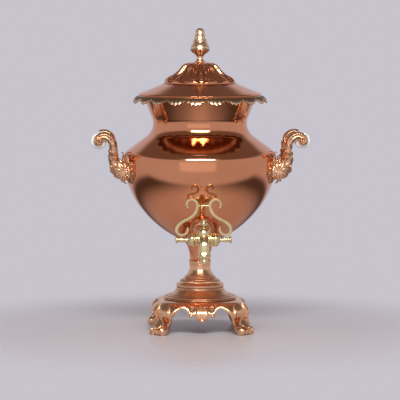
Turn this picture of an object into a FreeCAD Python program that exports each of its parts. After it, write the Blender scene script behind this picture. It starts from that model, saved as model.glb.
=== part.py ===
import FreeCAD, Part
import math
import os

# Copper tea urn with a plug tap, a lift-off lid and two porcelain handles, on a cast stand with four legs.
# Lengths are millimetres and angles degrees. The urn's own axis is vertical and the tap points along -Y.

V = FreeCAD.Vector
UP = V(0, 0, 1)
RIGHT = V(1, 0, 0)
BACK = V(0, 1, 0)
ORIGIN = V(0, 0, 0)

# Clearances
SEAM = 0.1                     # soldered, screwed or bolted faces
RUNNING = 0.05                 # a shaft in its bore, on the radius
LOOSE = 0.3                    # pieces that lift off or slide past each other

# Stand: a hollow casting with four cabriole legs at its corners
STAND_HEIGHT = 44.0
STAND_PLATE = 3.5
STAND_WALL = 4.0
CORNER_CENTRE = 31.0           # centre of each rounded corner, from the axis along X and along Y
STAND_TOP_HALF = 50.0          # half the width of the top plate
KNEE_HALF = 65.0
KNEE_DROP = 15.0               # knee of the wall below the top of the stand
ANKLE_HALF = 60.5
ANKLE_HEIGHT = 16.0
TOE_HALF = 68.0
TOE_RADIUS = 6.0
TOE_LENGTH = 26.0
TOE_CENTRE = 60.0              # middle of each toe roll, from the axis along X and along Y
SOLE_CUT = 0.5                 # height of the flat filed on the underside of each toe
ARCH_DROP = 7.0                # top of the openings between the legs, below the top of the stand
ARCH_CENTRE = 27.0
ARCH_FOOT_HALF = 48.5          # half the gap between two legs at the ground
ARCH_WAIST_HALF = 41.5
ARCH_WAIST_HEIGHT = 22.0
PENDANT_DROP = 18.5            # how far the middle pendant hangs below the arch tops
PENDANT_HALF = 9.5
LOBE_DROP = 11.0
LOBE_HALF = 18.5

# Pedestal: a moulded trumpet between the stand and the vessel
PEDESTAL_HEIGHT = 52.5
PEDESTAL_TOP_RADIUS = 14.2
PEDESTAL_WAIST_RADIUS = 16.5
PEDESTAL_WAIST_DROP = 14.0
BEAD_RING_RADIUS = 27.0
BEAD_RING_DROP = 28.5
UPPER_RING_RADIUS = 33.0
UPPER_RING_DROP = 34.0
LOWER_RING_RADIUS = 51.0
LOWER_RING_DROP = 49.0
RING_THICKNESS = 2.6
PEDESTAL_WALL = 4.5
COLLAR_HEIGHT = 6.0
COLLAR_PROUD = 1.1

# Tie rod that clamps vessel, pedestal and stand together
ROD_RADIUS = 4.0
ROD_TAIL = 4.0                 # thread showing below the nut
TIE_NUT_FLATS = 14.0
TIE_NUT_HEIGHT = 6.5
TIE_WASHER_RADIUS = 19.0
TIE_WASHER_THICKNESS = 3.0
WEB_THICKNESS = 9.0            # threaded web inside the stem socket

# Stem socket under the bowl
SOCKET_FOOT_RADIUS = 13.6
SOCKET_MID_RADIUS = 16.0
SOCKET_MID_RISE = 16.0
SOCKET_WALL = 3.0
SOCKET_SPREAD = 31.0           # radius where the socket meets the bowl
BOWL_RISE = 26.0               # lowest point of the bowl above the pedestal

# Vessel: a raised bowl, and a shoulder and neck spun in one piece, joined by a lap at the widest line
SHEET = 1.5
BODY_RADIUS = 106.0
BOWL_MID_RADIUS = 83.4
BOWL_MID_DROP = 67.0
BOWL_LOW_RADIUS = 41.0
BOWL_LOW_DROP = 105.0
SHOULDER_ROUND = 15.6
SHOULDER_SLOPE = 53.2          # from the vertical
WAIST_RADIUS = 65.2
NECK_ROUND = 22.0
FLARE_ROUND = 21.0
FLARE_SLOPE = 21.9             # from the vertical
MOUTH_RISE = 37.0              # rim of the neck above its waist
NECK_LAP = 4.0                 # how far the neck's lower edge reaches down inside the bowl

# Scalloped border round the mouth
BORDER_THICKNESS = 2.0
BORDER_SEAT_RADIUS = 85.0
BORDER_LAP = 4.0               # how far the border reaches inside the rim of the neck
BORDER_RADIUS = 92.3
BORDER_DROP = 8.6
SCALLOPS = 20
SCALLOP_TURN = 3.0             # a notch stands this far to the right of the front
SCALLOP_CUT = 2.6              # radius of each notch

# Iron heater in its tube
TUBE_RADIUS = 26.0
TUBE_WALL = 1.2
TUBE_TOP_BELOW_RIM = 30.0
SLUG_RADIUS = 20.5
SLUG_LENGTH = 112.0
SLUG_STEM_RADIUS = 4.0
CAP_LIP = 2.0
CAP_THICKNESS = 1.6
CAP_SPIGOT = 6.0
CAP_KNOB_RADIUS = 7.0
CAP_KNOB_HEIGHT = 12.0

# Lid
LID_SHEET = 1.5
LID_RADIUS = 85.0
LID_RIM = 1.8
DOME_RADIUS = 49.5
DOME_RISE = 14.6               # foot of the lobed dome above the lid's rim
DOME_LOBES = 12
DOME_RIBS = ((46.5, 6.5), (36.5, 12.0), (29.5, 18.0), (24.0, 24.5), (11.0, 29.0))   # radius, rise
DOME_SCOOP = 0.9               # radius in the middle of a scoop as a share of the rib's radius
DOME_WALL = 2.4
BEZEL_RADIUS = 71.0
BEZEL_WALL = 1.5
BEZEL_DEPTH = 12.0

# Finial
FINIAL_COLLAR_RADIUS = 6.8
FINIAL_COLLAR_HEIGHT = 2.4
FINIAL_NECK_RADIUS = 4.3
FINIAL_NECK_HEIGHT = 6.5
FINIAL_BUD_RADIUS = 13.2
FINIAL_BUD_HEIGHT = 18.0
FINIAL_SPIRE_RADIUS = 6.2
FINIAL_HEIGHT = 47.0
FINIAL_STUD_RADIUS = 2.5
FINIAL_WASHER_RADIUS = 7.5
FINIAL_WASHER_THICKNESS = 1.2
FINIAL_NUT_FLATS = 8.0
FINIAL_NUT_HEIGHT = 4.0

# Handles: a pair of scroll brackets on each side with a porcelain grip between them
BRACKET_SPREAD = 33.0          # middle of each bracket from the handle's middle, along Y
GRIP_REACH = 40.7              # grip's axis out from the wall behind the pads
GRIP_RISE = 39.5               # grip's axis above the middle of the pads
GRIP_RADIUS = 11.5
GRIP_CROWN = 0.6
EYE_RADIUS = 7.6
EYE_LENGTH = 10.0
GRIP_ROD_RADIUS = 2.4
GRIP_NUT_RADIUS = 5.6
GRIP_NUT_HEIGHT = 4.2
PAD_HALF_HEIGHT = 18.0
PAD_HALF_WIDTH = 13.0
PAD_THICKNESS = 2.4
PAD_DROP = 13.0                # middle of the pad below the widest line of the vessel
STUD_RADIUS = 3.0
STUD_REACH = 12.0              # stud inside the vessel
BRACKET_NUT_FLATS = 10.0
BRACKET_NUT_HEIGHT = 4.5
BRACKET_WASHER_RADIUS = 7.0
BRACKET_WASHER_THICKNESS = 3.0
# Stations along a bracket: out from the wall, up from the pad's middle, heading, half height, half depth
BRACKET_STATIONS = (
    (-6.0, 0.0, 0.0, 16.0, 11.0),
    (6.0, -0.5, 0.0, 13.0, 9.5),
    (14.0, 1.5, 28.0, 10.0, 8.3),
    (20.0, 10.0, 76.0, 7.4, 6.8),
    (20.5, 22.0, 92.0, 6.0, 5.9),
    (20.5, 33.0, 86.0, 5.6, 5.5),
    (24.5, 43.0, 52.0, 5.3, 5.2),
    (32.0, 47.5, 5.0, 4.8, 4.7),
    (39.0, 44.5, -50.0, 4.2, 4.1),
)

# Tap
TAP_REACH = 125.0              # plug axis in front of the urn's axis
TAP_DROP = 101.0               # plug axis below the widest line of the vessel
PIPE_TILT = 10.0
PIPE_RADIUS = 7.0
PIPE_BORE = 3.6
BOSS_RADIUS = 16.0
BOSS_STEP_RADIUS = 12.4
BOSS_FACE = 77.0               # front of the boss, from the urn's axis
BOSS_STEP = 4.5
SHANK_RADIUS = 5.6
SHANK_REACH = 24.0             # shank inside the vessel, along the pipe
TAP_NUT_FLATS = 18.0
TAP_NUT_HEIGHT = 5.0
TAP_WASHER_RADIUS = 11.0
BARREL_RADIUS = 8.6
BARREL_HALF = 12.0
PLUG_RADIUS = 6.0
GLAND_RADIUS = 9.2
GLAND_LENGTH = 9.5
SPINDLE_RADIUS = 2.8
SPINDLE_HALF = 38.4
SPINDLE_CAP_RADIUS = 5.0
SPINDLE_CAP_LENGTH = 4.2
SPOUT_RADIUS = 6.0
SPOUT_FLARE_RADIUS = 8.4
SPOUT_BEND = 10.0
SPOUT_FORWARD = 15.5           # spout axis in front of the plug axis
SPOUT_DROP = 22.0              # spout ring below the plug axis
SPOUT_RING_RADIUS = 9.5
SPOUT_RING_HEIGHT = 3.0
NOZZLE_TOP_RADIUS = 7.0
NOZZLE_TIP_RADIUS = 4.6
NOZZLE_LENGTH = 8.0
BELL_RADIUS = 9.5
BELL_TOP_RADIUS = 5.0
BELL_FOOT = 3.0                # heights above the plug axis from here
BELL_TOP = 17.0
KNOB_RADIUS = 5.7
KNOB_CENTRE = 21.5
KNOB_TIP = 29.0
FINIAL_PEG_RADIUS = 3.0
FINIAL_PEG_DEPTH = 2.0
STRAP_WIDTH = 4.0
STRAP_DEPTH = 5.0
LYRE_FOOT = 29.5               # middle of each foot of the lyre on the spindle
LYRE_FOOT_RADIUS = 5.0
LYRE_FOOT_LENGTH = 7.0
STRAP_SINK = 0.5               # depth of the strap's weld into its foot
TIE_BAR_RADIUS = 1.3
# One arm of the lyre from its top scroll to its lower curl: out from the middle, up from the plug axis
LYRE_START_HEADING = 36.0
LYRE_NECK = (8.4, 46.0)
LYRE_ARM = (
    (20.5, 43.0), (23.0, 48.0), (15.7, 54.5), LYRE_NECK, (14.5, 33.0), (24.0, 27.0),
    (33.5, 20.5), (36.5, 14.0), (LYRE_FOOT, LYRE_FOOT_RADIUS + STRAP_WIDTH / 2 - STRAP_SINK),
    (21.5, 13.6), (22.6, 16.8),
)

# Heights that follow from the sizes above
PEDESTAL_TOP = STAND_HEIGHT + PEDESTAL_HEIGHT
BOWL_BOTTOM = PEDESTAL_TOP + BOWL_RISE
ARCH_TOP = STAND_HEIGHT - ARCH_DROP


def at(radius, height):
    """A point of a turned outline: distance from the axis and height."""
    return V(radius, 0, height)


def heading_vector(angle):
    """Unit vector in the XZ plane, its angle measured from +X towards +Z."""
    return V(math.cos(math.radians(angle)), 0, math.sin(math.radians(angle)))


def left_of(direction):
    """The direction a quarter turn to the left in the XZ plane."""
    return V(-direction.z, 0, direction.x)


def tangent_spans(start, heading, points):
    """Arcs through the points, each tangent to the one before; a span is three (point, tangent) pairs."""
    spans = []
    begin = V(start)
    tangent = V(heading).normalize()
    for end in points:
        chord = (end - begin).normalize()
        bend = math.atan2(tangent.x * chord.z - tangent.z * chord.x, tangent.dot(chord))
        bulge = (end - begin).Length / 2 * math.tan(bend / 2)
        middle = (begin + end) * 0.5 - left_of(chord) * bulge
        leaving = chord * (2 * tangent.dot(chord)) - tangent
        spans.append(((begin, tangent), (middle, chord), (V(end), leaving)))
        begin = V(end)
        tangent = leaving
    return spans


def turned_back(spans):
    """The same spans walked the other way."""
    return [tuple((point, tangent * -1) for point, tangent in reversed(span)) for span in reversed(spans)]


def shifted(spans, distance):
    """The spans moved sideways, to the left when the distance is positive."""
    moved = []
    for span in spans:
        moved.append(tuple((point + left_of(tangent) * distance, tangent) for point, tangent in span))
    return moved


def edge_of(span):
    """A line where the span is straight, and otherwise an arc."""
    (begin, entering), (middle, _), (end, leaving) = span
    if entering.cross(leaving).Length < 1e-6:
        return Part.LineSegment(begin, end).toShape()
    return Part.Arc(begin, middle, end).toShape()


def loop_face(edges):
    """A face bounded by edges that form one loop."""
    return Part.Face(Part.Wire(Part.__sortEdges__(edges)))


def line(begin, end):
    return Part.LineSegment(begin, end).toShape()


def band(spans, thickness):
    """The face between spans and the same spans moved to the left by a thickness."""
    inner = shifted(spans, thickness)
    edges = [edge_of(span) for span in spans] + [edge_of(span) for span in inner]
    edges.append(line(spans[0][0][0], inner[0][0][0]))
    edges.append(line(spans[-1][2][0], inner[-1][2][0]))
    return loop_face([edge for edge in edges if edge.Length > 1e-6])


def filled(spans):
    """The face between spans that start on the axis and the axis itself."""
    begin = spans[0][0][0]
    end = spans[-1][2][0]
    edges = [edge_of(span) for span in spans]
    edges.append(line(end, at(0, end.z)))
    edges.append(line(at(0, end.z), begin))
    return loop_face(edges)


def polygon(*points):
    """A face with straight sides through the points."""
    return Part.Face(Part.makePolygon(list(points) + [points[0]]))


def turned(face):
    """The solid that a face sweeps in one turn about the urn's axis."""
    return face.revolve(ORIGIN, UP, 360)


def cylinder(radius, begin, end):
    """A solid cylinder between two points."""
    return Part.makeCylinder(radius, (end - begin).Length, begin, end - begin)


def hexagon(flats, height, base, axis):
    """A six-sided nut blank standing on a base point along an axis."""
    corner = flats / math.sqrt(3)
    points = [V(corner * math.cos(math.radians(60 * k)), corner * math.sin(math.radians(60 * k)), 0)
              for k in range(7)]
    blank = Part.Face(Part.makePolygon(points)).extrude(V(0, 0, height))
    blank.Placement = FreeCAD.Placement(base, FreeCAD.Rotation(UP, axis))
    return blank


def joined(shapes):
    """Pieces of one casting fused into one solid."""
    solid = shapes[0].multiFuse(shapes[1:]).removeSplitter()
    return solid.Solids[0] if len(solid.Solids) == 1 else solid


def quarter_turns(shape):
    """Four copies of a shape round the urn's axis."""
    copies = []
    for quarter in range(4):
        copy = shape.copy()
        copy.rotate(ORIGIN, UP, 90 * quarter)
        copies.append(copy)
    return copies


def mirrored(shape, normal):
    return shape.mirror(ORIGIN, normal)


def vessel_spans():
    """Outside of the bowl from the middle of its floor up, outside of the neck from there to the rim, and the
    height of the widest line between them."""
    fall = tangent_spans(
        at(BODY_RADIUS, 0), V(0, 0, -1),
        [at(BOWL_MID_RADIUS, -BOWL_MID_DROP), at(BOWL_LOW_RADIUS, -BOWL_LOW_DROP)],
    )
    low_point, low_heading = fall[-1][2]
    steepness = math.degrees(math.atan2(-low_heading.z, -low_heading.x))
    floor = at(0, low_point.z - BOWL_LOW_RADIUS * math.tan(math.radians(steepness / 2)))
    fall += tangent_spans(low_point, low_heading, [floor])
    widest = BOWL_BOTTOM - floor.z
    slope = math.radians(SHOULDER_SLOPE)
    flare = math.radians(FLARE_SLOPE)
    shoulder = at(BODY_RADIUS - SHOULDER_ROUND * (1 - math.cos(slope)), SHOULDER_ROUND * math.sin(slope))
    neck_radius = WAIST_RADIUS + NECK_ROUND * (1 - math.cos(slope))
    neck = at(neck_radius, shoulder.z + (shoulder.x - neck_radius) / math.tan(slope))
    waist = at(WAIST_RADIUS, neck.z + NECK_ROUND * math.sin(slope))
    flared = at(WAIST_RADIUS + FLARE_ROUND * (1 - math.cos(flare)), waist.z + FLARE_ROUND * math.sin(flare))
    rim_z = waist.z + MOUTH_RISE
    rim = at(flared.x + (rim_z - flared.z) * math.tan(flare), rim_z)
    rise = tangent_spans(at(BODY_RADIUS, 0), UP, [shoulder, neck, waist, flared, rim])
    lift = V(0, 0, widest)
    bowl_spans = [tuple((point + lift, tangent) for point, tangent in span) for span in turned_back(fall)]
    neck_spans = [tuple((point + lift, tangent) for point, tangent in span) for span in rise]
    return bowl_spans, neck_spans, widest


BOWL, NECK, WIDEST = vessel_spans()
VESSEL = BOWL + NECK
RIM = VESSEL[-1][2][0]
VESSEL_INSIDE = shifted(VESSEL, SHEET)
BORDER_TOP = RIM.z + BORDER_THICKNESS
LID_FOOT = BORDER_TOP + LOOSE
DOME_FOOT = LID_FOOT + LID_RIM + DOME_RISE
FINIAL_FOOT = DOME_FOOT + DOME_RIBS[-1][1]
TAP_Z = WIDEST - TAP_DROP
PAD_Z = WIDEST - PAD_DROP
GRIP_Z = PAD_Z + GRIP_RISE


def vessel_space(distance):
    """Everything inside the vessel's outer skin, grown by a distance."""
    return turned(filled(shifted(VESSEL, -distance)))


def height_inside(radius):
    """Height of the bowl's inner skin at a distance from the axis."""
    skin = Part.Wire([edge_of(span) for span in VESSEL_INSIDE])
    plumb = line(at(radius, BOWL_BOTTOM - SHEET), at(radius, WIDEST))
    return skin.distToShape(plumb)[1][0][0].z


def radius_outside(height, offset):
    """X of the vessel's outer skin at a height, in the plane that lies an offset from its axis."""
    skin = Part.Wire([edge_of(span) for span in VESSEL])
    level = line(at(0, height), at(2 * BODY_RADIUS, height))
    radius = skin.distToShape(level)[1][0][0].x
    return math.sqrt(radius ** 2 - offset ** 2)


HANDLE_WALL = radius_outside(PAD_Z, BRACKET_SPREAD)
GRIP_X = HANDLE_WALL + GRIP_REACH


# Stand

def leg_wall():
    """Section through the casting's wall, from the top plate over the knee to the toe."""
    top = at(STAND_TOP_HALF, STAND_HEIGHT)
    knee = at(KNEE_HALF, STAND_HEIGHT - KNEE_DROP)
    shoulder = (top + knee) * 0.5 + at(STAND_PLATE, STAND_PLATE / 2)
    outside = [top, shoulder, knee, at(ANKLE_HALF, ANKLE_HEIGHT), at(TOE_HALF, TOE_RADIUS)]
    inside = [point - V(STAND_WALL, 0, 0) for point in outside]
    curves = []
    for points in (outside, inside):
        curve = Part.BSplineCurve()
        curve.interpolate(points)
        curves.append(curve.toShape())
    return loop_face(curves + [line(outside[0], inside[0]), line(outside[-1], inside[-1])])


def apron_opening():
    """The opening between two legs: arches either side of a pendant with a lobe on each flank."""
    lobe_low = ARCH_TOP - LOBE_DROP
    pendant_low = ARCH_TOP - PENDANT_DROP
    cusp = at(PENDANT_HALF, lobe_low + LOBE_DROP / 6)
    lobe_end = at(LOBE_HALF, lobe_low + LOBE_DROP / 3)
    lobe_middle = at((PENDANT_HALF + LOBE_HALF) / 2, lobe_low)
    arch = at(ARCH_CENTRE, ARCH_TOP)
    arch_shoulder = at(LOBE_HALF + 0.3 * (ARCH_CENTRE - LOBE_HALF), ARCH_TOP - 0.25 * LOBE_DROP)
    waist = at(ARCH_WAIST_HALF, ARCH_WAIST_HEIGHT)
    waist_middle = at(0.4 * arch.x + 0.6 * waist.x, 0.6 * arch.z + 0.4 * waist.z)
    foot = at(ARCH_FOOT_HALF, -1)
    half = [
        Part.Arc(cusp, lobe_middle, lobe_end).toShape(),
        Part.Arc(lobe_end, arch_shoulder, arch).toShape(),
        Part.Arc(arch, waist_middle, waist).toShape(),
        line(waist, foot),
    ]
    other = [mirrored(edge, RIGHT) for edge in half]
    pendant = Part.Arc(mirrored_point(cusp), at(0, pendant_low), cusp).toShape()
    ground = line(foot, mirrored_point(foot))
    face = loop_face(half + other + [pendant, ground])
    face.translate(V(0, -2 * TOE_CENTRE, 0))
    return face.extrude(V(0, 4 * TOE_CENTRE, 0))


def mirrored_point(point):
    return V(-point.x, point.y, point.z)


def stand():
    """The stand: a wall carried round a rounded square, a top plate, four openings and four toe rolls."""
    wall = leg_wall()
    wall.translate(V(0, CORNER_CENTRE, 0))
    corner = wall.revolve(V(CORNER_CENTRE, CORNER_CENTRE, 0), UP, 90)
    side = wall.extrude(V(0, -2 * CORNER_CENTRE, 0))
    plate_half = STAND_TOP_HALF - STAND_WALL / 2
    plate = Part.makeBox(2 * plate_half, 2 * plate_half, STAND_PLATE,
                         V(-plate_half, -plate_half, STAND_HEIGHT - STAND_PLATE))
    upright = [edge for edge in plate.Edges if edge.BoundBox.ZLength > STAND_PLATE / 2]
    plate = plate.makeFillet(plate_half - CORNER_CENTRE, upright)
    shell = joined([plate] + quarter_turns(corner) + quarter_turns(side))
    opening = apron_opening()
    crossing = opening.copy()
    crossing.rotate(ORIGIN, UP, 90)
    shell = shell.cut(opening).cut(crossing)
    along = V(1, -1, 0).normalize() * (TOE_LENGTH / 2)
    middle = V(TOE_CENTRE, TOE_CENTRE, TOE_RADIUS - SOLE_CUT)
    toe = cylinder(TOE_RADIUS, middle - along, middle + along)
    toe = toe.makeFillet(TOE_RADIUS / 3, [edge for edge in toe.Edges if len(edge.Vertexes) == 1])
    casting = joined([shell] + quarter_turns(toe))
    ground = Part.makeBox(4 * TOE_CENTRE, 4 * TOE_CENTRE, TOE_RADIUS,
                          V(-2 * TOE_CENTRE, -2 * TOE_CENTRE, -TOE_RADIUS))
    rod_hole = cylinder(ROD_RADIUS + LOOSE, ORIGIN, at(0, STAND_HEIGHT + 1))
    return casting.cut(ground).cut(rod_hole)


def pedestal():
    """The trumpet: a collar, a flaring stem, a beaded ring and two stepped rings, hollow below."""
    top = PEDESTAL_TOP
    waist = at(PEDESTAL_WAIST_RADIUS, top - PEDESTAL_WAIST_DROP)
    bead = at(BEAD_RING_RADIUS, top - BEAD_RING_DROP)
    upper = at(UPPER_RING_RADIUS, top - UPPER_RING_DROP)
    lower = at(LOWER_RING_RADIUS, top - LOWER_RING_DROP)
    collar_foot = at(PEDESTAL_TOP_RADIUS, top - COLLAR_HEIGHT)
    flare = tangent_spans(collar_foot, V(0.1, 0, -1), [waist, bead])
    cove_top = upper - V(0, 0, RING_THICKNESS)
    cove_foot = lower - V(RING_THICKNESS, 0, 0)
    cove_middle = at(0.6 * cove_top.x + 0.4 * cove_foot.x, 0.4 * cove_top.z + 0.6 * cove_foot.z)
    ring_foot = lower - V(0, 0, RING_THICKNESS)
    base = at(LOWER_RING_RADIUS - RING_THICKNESS, STAND_HEIGHT + SEAM)
    bore = ROD_RADIUS + LOOSE
    hollow_foot = base - V(PEDESTAL_WALL, 0, 0)
    hollow_step = at(UPPER_RING_RADIUS - 2 * PEDESTAL_WALL, lower.z)
    hollow_top = at(bore + PEDESTAL_WALL, waist.z - PEDESTAL_WALL)
    edges = [edge_of(span) for span in flare]
    edges += [
        line(at(bore, top), at(PEDESTAL_TOP_RADIUS + COLLAR_PROUD, top)),
        line(at(PEDESTAL_TOP_RADIUS + COLLAR_PROUD, top), collar_foot + V(COLLAR_PROUD, 0, 0)),
        line(collar_foot + V(COLLAR_PROUD, 0, 0), collar_foot),
        line(bead, upper),
        line(upper, cove_top),
        Part.Arc(cove_top, cove_middle, cove_foot).toShape(),
        line(cove_foot, lower),
        line(lower, ring_foot),
        line(ring_foot, base),
        line(base, hollow_foot),
        line(hollow_foot, hollow_step),
        line(hollow_step, hollow_top),
        line(hollow_top, at(bore, waist.z)),
        line(at(bore, waist.z), at(bore, top)),
    ]
    return turned(loop_face(edges))


def stem_socket():
    """The copper trumpet soldered under the bowl, with the threaded web that takes the tie rod."""
    foot = PEDESTAL_TOP + SEAM
    top = height_inside(SOCKET_SPREAD) + SHEET
    spans = tangent_spans(
        at(SOCKET_FOOT_RADIUS, foot), V(0.1, 0, 1),
        [at(SOCKET_MID_RADIUS, foot + SOCKET_MID_RISE), at(SOCKET_SPREAD, top)],
    )
    tube = turned(band(spans, SOCKET_WALL))
    web = cylinder(SOCKET_FOOT_RADIUS - SOCKET_WALL / 2, at(0, foot), at(0, foot + WEB_THICKNESS))
    thread = cylinder(ROD_RADIUS + SEAM, at(0, foot - 1), at(0, foot + WEB_THICKNESS + 1))
    return joined([tube, web]).cut(thread).cut(vessel_space(SEAM))


def tie_pieces():
    """The rod through the stem, with its washer and nut under the stand's plate."""
    washer_top = STAND_HEIGHT - STAND_PLATE - SEAM
    washer_low = washer_top - TIE_WASHER_THICKNESS
    nut_low = washer_low - SEAM - TIE_NUT_HEIGHT
    rod = cylinder(ROD_RADIUS, at(0, nut_low - ROD_TAIL), at(0, PEDESTAL_TOP + SEAM + WEB_THICKNESS))
    hole = cylinder(ROD_RADIUS + SEAM, at(0, 0), at(0, STAND_HEIGHT))
    washer = cylinder(TIE_WASHER_RADIUS, at(0, washer_low), at(0, washer_top)).cut(hole)
    nut = hexagon(TIE_NUT_FLATS, TIE_NUT_HEIGHT, at(0, nut_low), UP).cut(hole)
    return {"tie_rod": rod, "tie_washer": washer, "tie_nut": nut}


# Vessel

def pipe_point(distance):
    """A point of the tap's pipe, a distance behind the plug axis along the pipe."""
    tilt = math.radians(PIPE_TILT)
    return V(0, -TAP_REACH + distance * math.cos(tilt), TAP_Z + distance * math.sin(tilt))


def pipe_distance(reach):
    """Distance along the pipe, behind the plug axis, of its point at a reach from the urn's axis."""
    return (TAP_REACH - reach) / math.cos(math.radians(PIPE_TILT))


def bracket_axes():
    """Start and end of the stud behind each of the four brackets."""
    axes = []
    for side in (-1, 1):
        for face in (-1, 1):
            inner = V(side * (HANDLE_WALL - SHEET - STUD_REACH), face * BRACKET_SPREAD, PAD_Z)
            outer = V(side * (HANDLE_WALL + PAD_THICKNESS), face * BRACKET_SPREAD, PAD_Z)
            axes.append((inner, outer))
    return axes


def bowl():
    """The raised lower half of the vessel, with its holes for the tap and the bracket studs."""
    shell = turned(band(BOWL, SHEET))
    holes = [cylinder(2 * BODY_RADIUS, at(0, WIDEST - SEAM), at(0, WIDEST + SHEET))]
    holes += [cylinder(STUD_RADIUS + SEAM, inner, outer) for inner, outer in bracket_axes()]
    holes.append(cylinder(SHANK_RADIUS + SEAM, pipe_point(pipe_distance(BOSS_FACE)), pipe_point(TAP_REACH)))
    return shell.cut(holes)


def neck():
    """Shoulder and neck in one piece, with its lower edge set in so that it laps inside the bowl."""
    wall = turned(band(NECK, SHEET))
    lap = turned(band(shifted(VESSEL, SHEET + SEAM), SHEET))
    lap = lap.common(cylinder(2 * BODY_RADIUS, at(0, WIDEST - NECK_LAP), at(0, WIDEST + SHEET)))
    set_in = turned(band(NECK, 2 * SHEET + SEAM))
    set_in = set_in.common(cylinder(2 * BODY_RADIUS, at(0, WIDEST), at(0, WIDEST + SHEET)))
    above_rim = cylinder(BODY_RADIUS, at(0, RIM.z), at(0, RIM.z + 2 * SHEET))
    return joined([wall, lap, set_in]).cut(above_rim)


def mouth_border():
    """A flange on the rim that turns over into a drooping skirt with a scalloped edge."""
    inner = at(RIM.x - BORDER_LAP, BORDER_TOP)
    seat = at(BORDER_SEAT_RADIUS, BORDER_TOP)
    tip = at(BORDER_RADIUS, BORDER_TOP - BORDER_DROP)
    face = band(tangent_spans(inner, RIGHT, [seat, tip]), -BORDER_THICKNESS + SEAM)
    ring = turned(face)
    cutters = []
    notch_low = V(0, 0, tip.z - SCALLOP_CUT / 2)
    for scallop in range(SCALLOPS):
        angle = 2 * math.pi * scallop / SCALLOPS + math.radians(SCALLOP_TURN)
        outward = V(math.cos(angle), math.sin(angle), 0)
        begin = outward * BORDER_SEAT_RADIUS + notch_low
        end = outward * (BORDER_RADIUS + 2 * BORDER_THICKNESS) + notch_low
        cutters.append(cylinder(SCALLOP_CUT, begin, end))
    return ring.cut(cutters)


def heater_pieces():
    """The soldered tube with its floor, and the iron slug that hangs from a loose cap."""
    foot = height_inside(TUBE_RADIUS) + SEAM
    top = RIM.z - TUBE_TOP_BELOW_RIM
    bore = TUBE_RADIUS - TUBE_WALL
    tube = cylinder(TUBE_RADIUS, at(0, foot), at(0, top))
    tube = tube.cut(cylinder(bore, at(0, foot + TUBE_WALL), at(0, top + 1)))
    slug_low = foot + TUBE_WALL + LOOSE
    slug_top = slug_low + SLUG_LENGTH
    cap_low = top + LOOSE
    cap_top = cap_low + CAP_THICKNESS
    slug = joined([
        cylinder(SLUG_RADIUS, at(0, slug_low), at(0, slug_top)),
        cylinder(SLUG_STEM_RADIUS, at(0, slug_low), at(0, cap_top)),
    ])
    spigot = bore - 2 * LOOSE
    spigot_bore = spigot - CAP_THICKNESS
    spigot_low = cap_low - CAP_SPIGOT
    stem_hole = SLUG_STEM_RADIUS + SEAM
    lip = TUBE_RADIUS + CAP_LIP
    cap = turned(polygon(
        at(stem_hole, cap_low), at(spigot_bore, cap_low), at(spigot_bore, spigot_low),
        at(spigot, spigot_low), at(spigot, cap_low), at(lip, cap_low), at(lip, cap_top), at(stem_hole, cap_top),
    ))
    knob_low = cap_top + SEAM
    knob_top = knob_low + CAP_KNOB_HEIGHT
    knob = turned(polygon(
        at(0, knob_low), at(0.6 * CAP_KNOB_RADIUS, knob_low),
        at(0.5 * CAP_KNOB_RADIUS, knob_low + CAP_KNOB_HEIGHT / 3),
        at(CAP_KNOB_RADIUS, knob_low + 0.6 * CAP_KNOB_HEIGHT),
        at(0.7 * CAP_KNOB_RADIUS, knob_top), at(0, knob_top),
    ))
    return {"heater_tube": tube, "heater_slug": slug, "heater_cap": cap, "heater_knob": knob}


# Lid

def lobed_wire(radius, height):
    """A closed row of arcs: ribs on a circle, with a scoop between each two."""
    pitch = 2 * math.pi / DOME_LOBES
    edges = []
    for lobe in range(DOME_LOBES):
        corners = []
        for share, reach in ((-0.5, 1.0), (0.0, DOME_SCOOP), (0.5, 1.0)):
            angle = (lobe + share) * pitch - math.pi / 2
            corners.append(V(reach * radius * math.cos(angle), reach * radius * math.sin(angle), height))
        edges.append(Part.Arc(*corners).toShape())
    return Part.Wire(edges)


def lid_shell():
    """The lid: a low cone of sheet that rises into a dome of scoops between ribs, hollow inside."""
    rim = LID_FOOT + LID_RIM
    slope = math.atan2(DOME_RISE, LID_RADIUS - DOME_RADIUS)
    sheet_drop = LID_SHEET / math.cos(slope)
    cone_inner = DOME_RADIUS * DOME_SCOOP - DOME_WALL
    cone_rise = (LID_RADIUS - cone_inner) * math.tan(slope)
    turn_up = at(LID_RADIUS - LID_SHEET, rim + LID_SHEET * math.tan(slope) - sheet_drop)
    cone = turned(polygon(
        at(LID_RADIUS, LID_FOOT), at(LID_RADIUS, rim), at(cone_inner, rim + cone_rise),
        at(cone_inner, rim + cone_rise - sheet_drop), turn_up, at(turn_up.x, LID_FOOT),
    ))
    ribs = ((DOME_RADIUS, -SEAM),) + DOME_RIBS
    dome = Part.makeLoft([lobed_wire(radius, DOME_FOOT + rise) for radius, rise in ribs], True)
    hollow = [at(DOME_SCOOP * radius - DOME_WALL, DOME_FOOT + rise - DOME_WALL)
              for radius, rise in ribs]
    foot = at(hollow[0].x, DOME_FOOT - DOME_RISE)
    cavity = turned(polygon(at(0, foot.z), foot, *hollow, at(0, hollow[-1].z)))
    stud_hole = cylinder(FINIAL_STUD_RADIUS + SEAM, at(0, LID_FOOT), at(0, FINIAL_FOOT + 1))
    return joined([cone, dome]).cut(cavity).cut(stud_hole)


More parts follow.
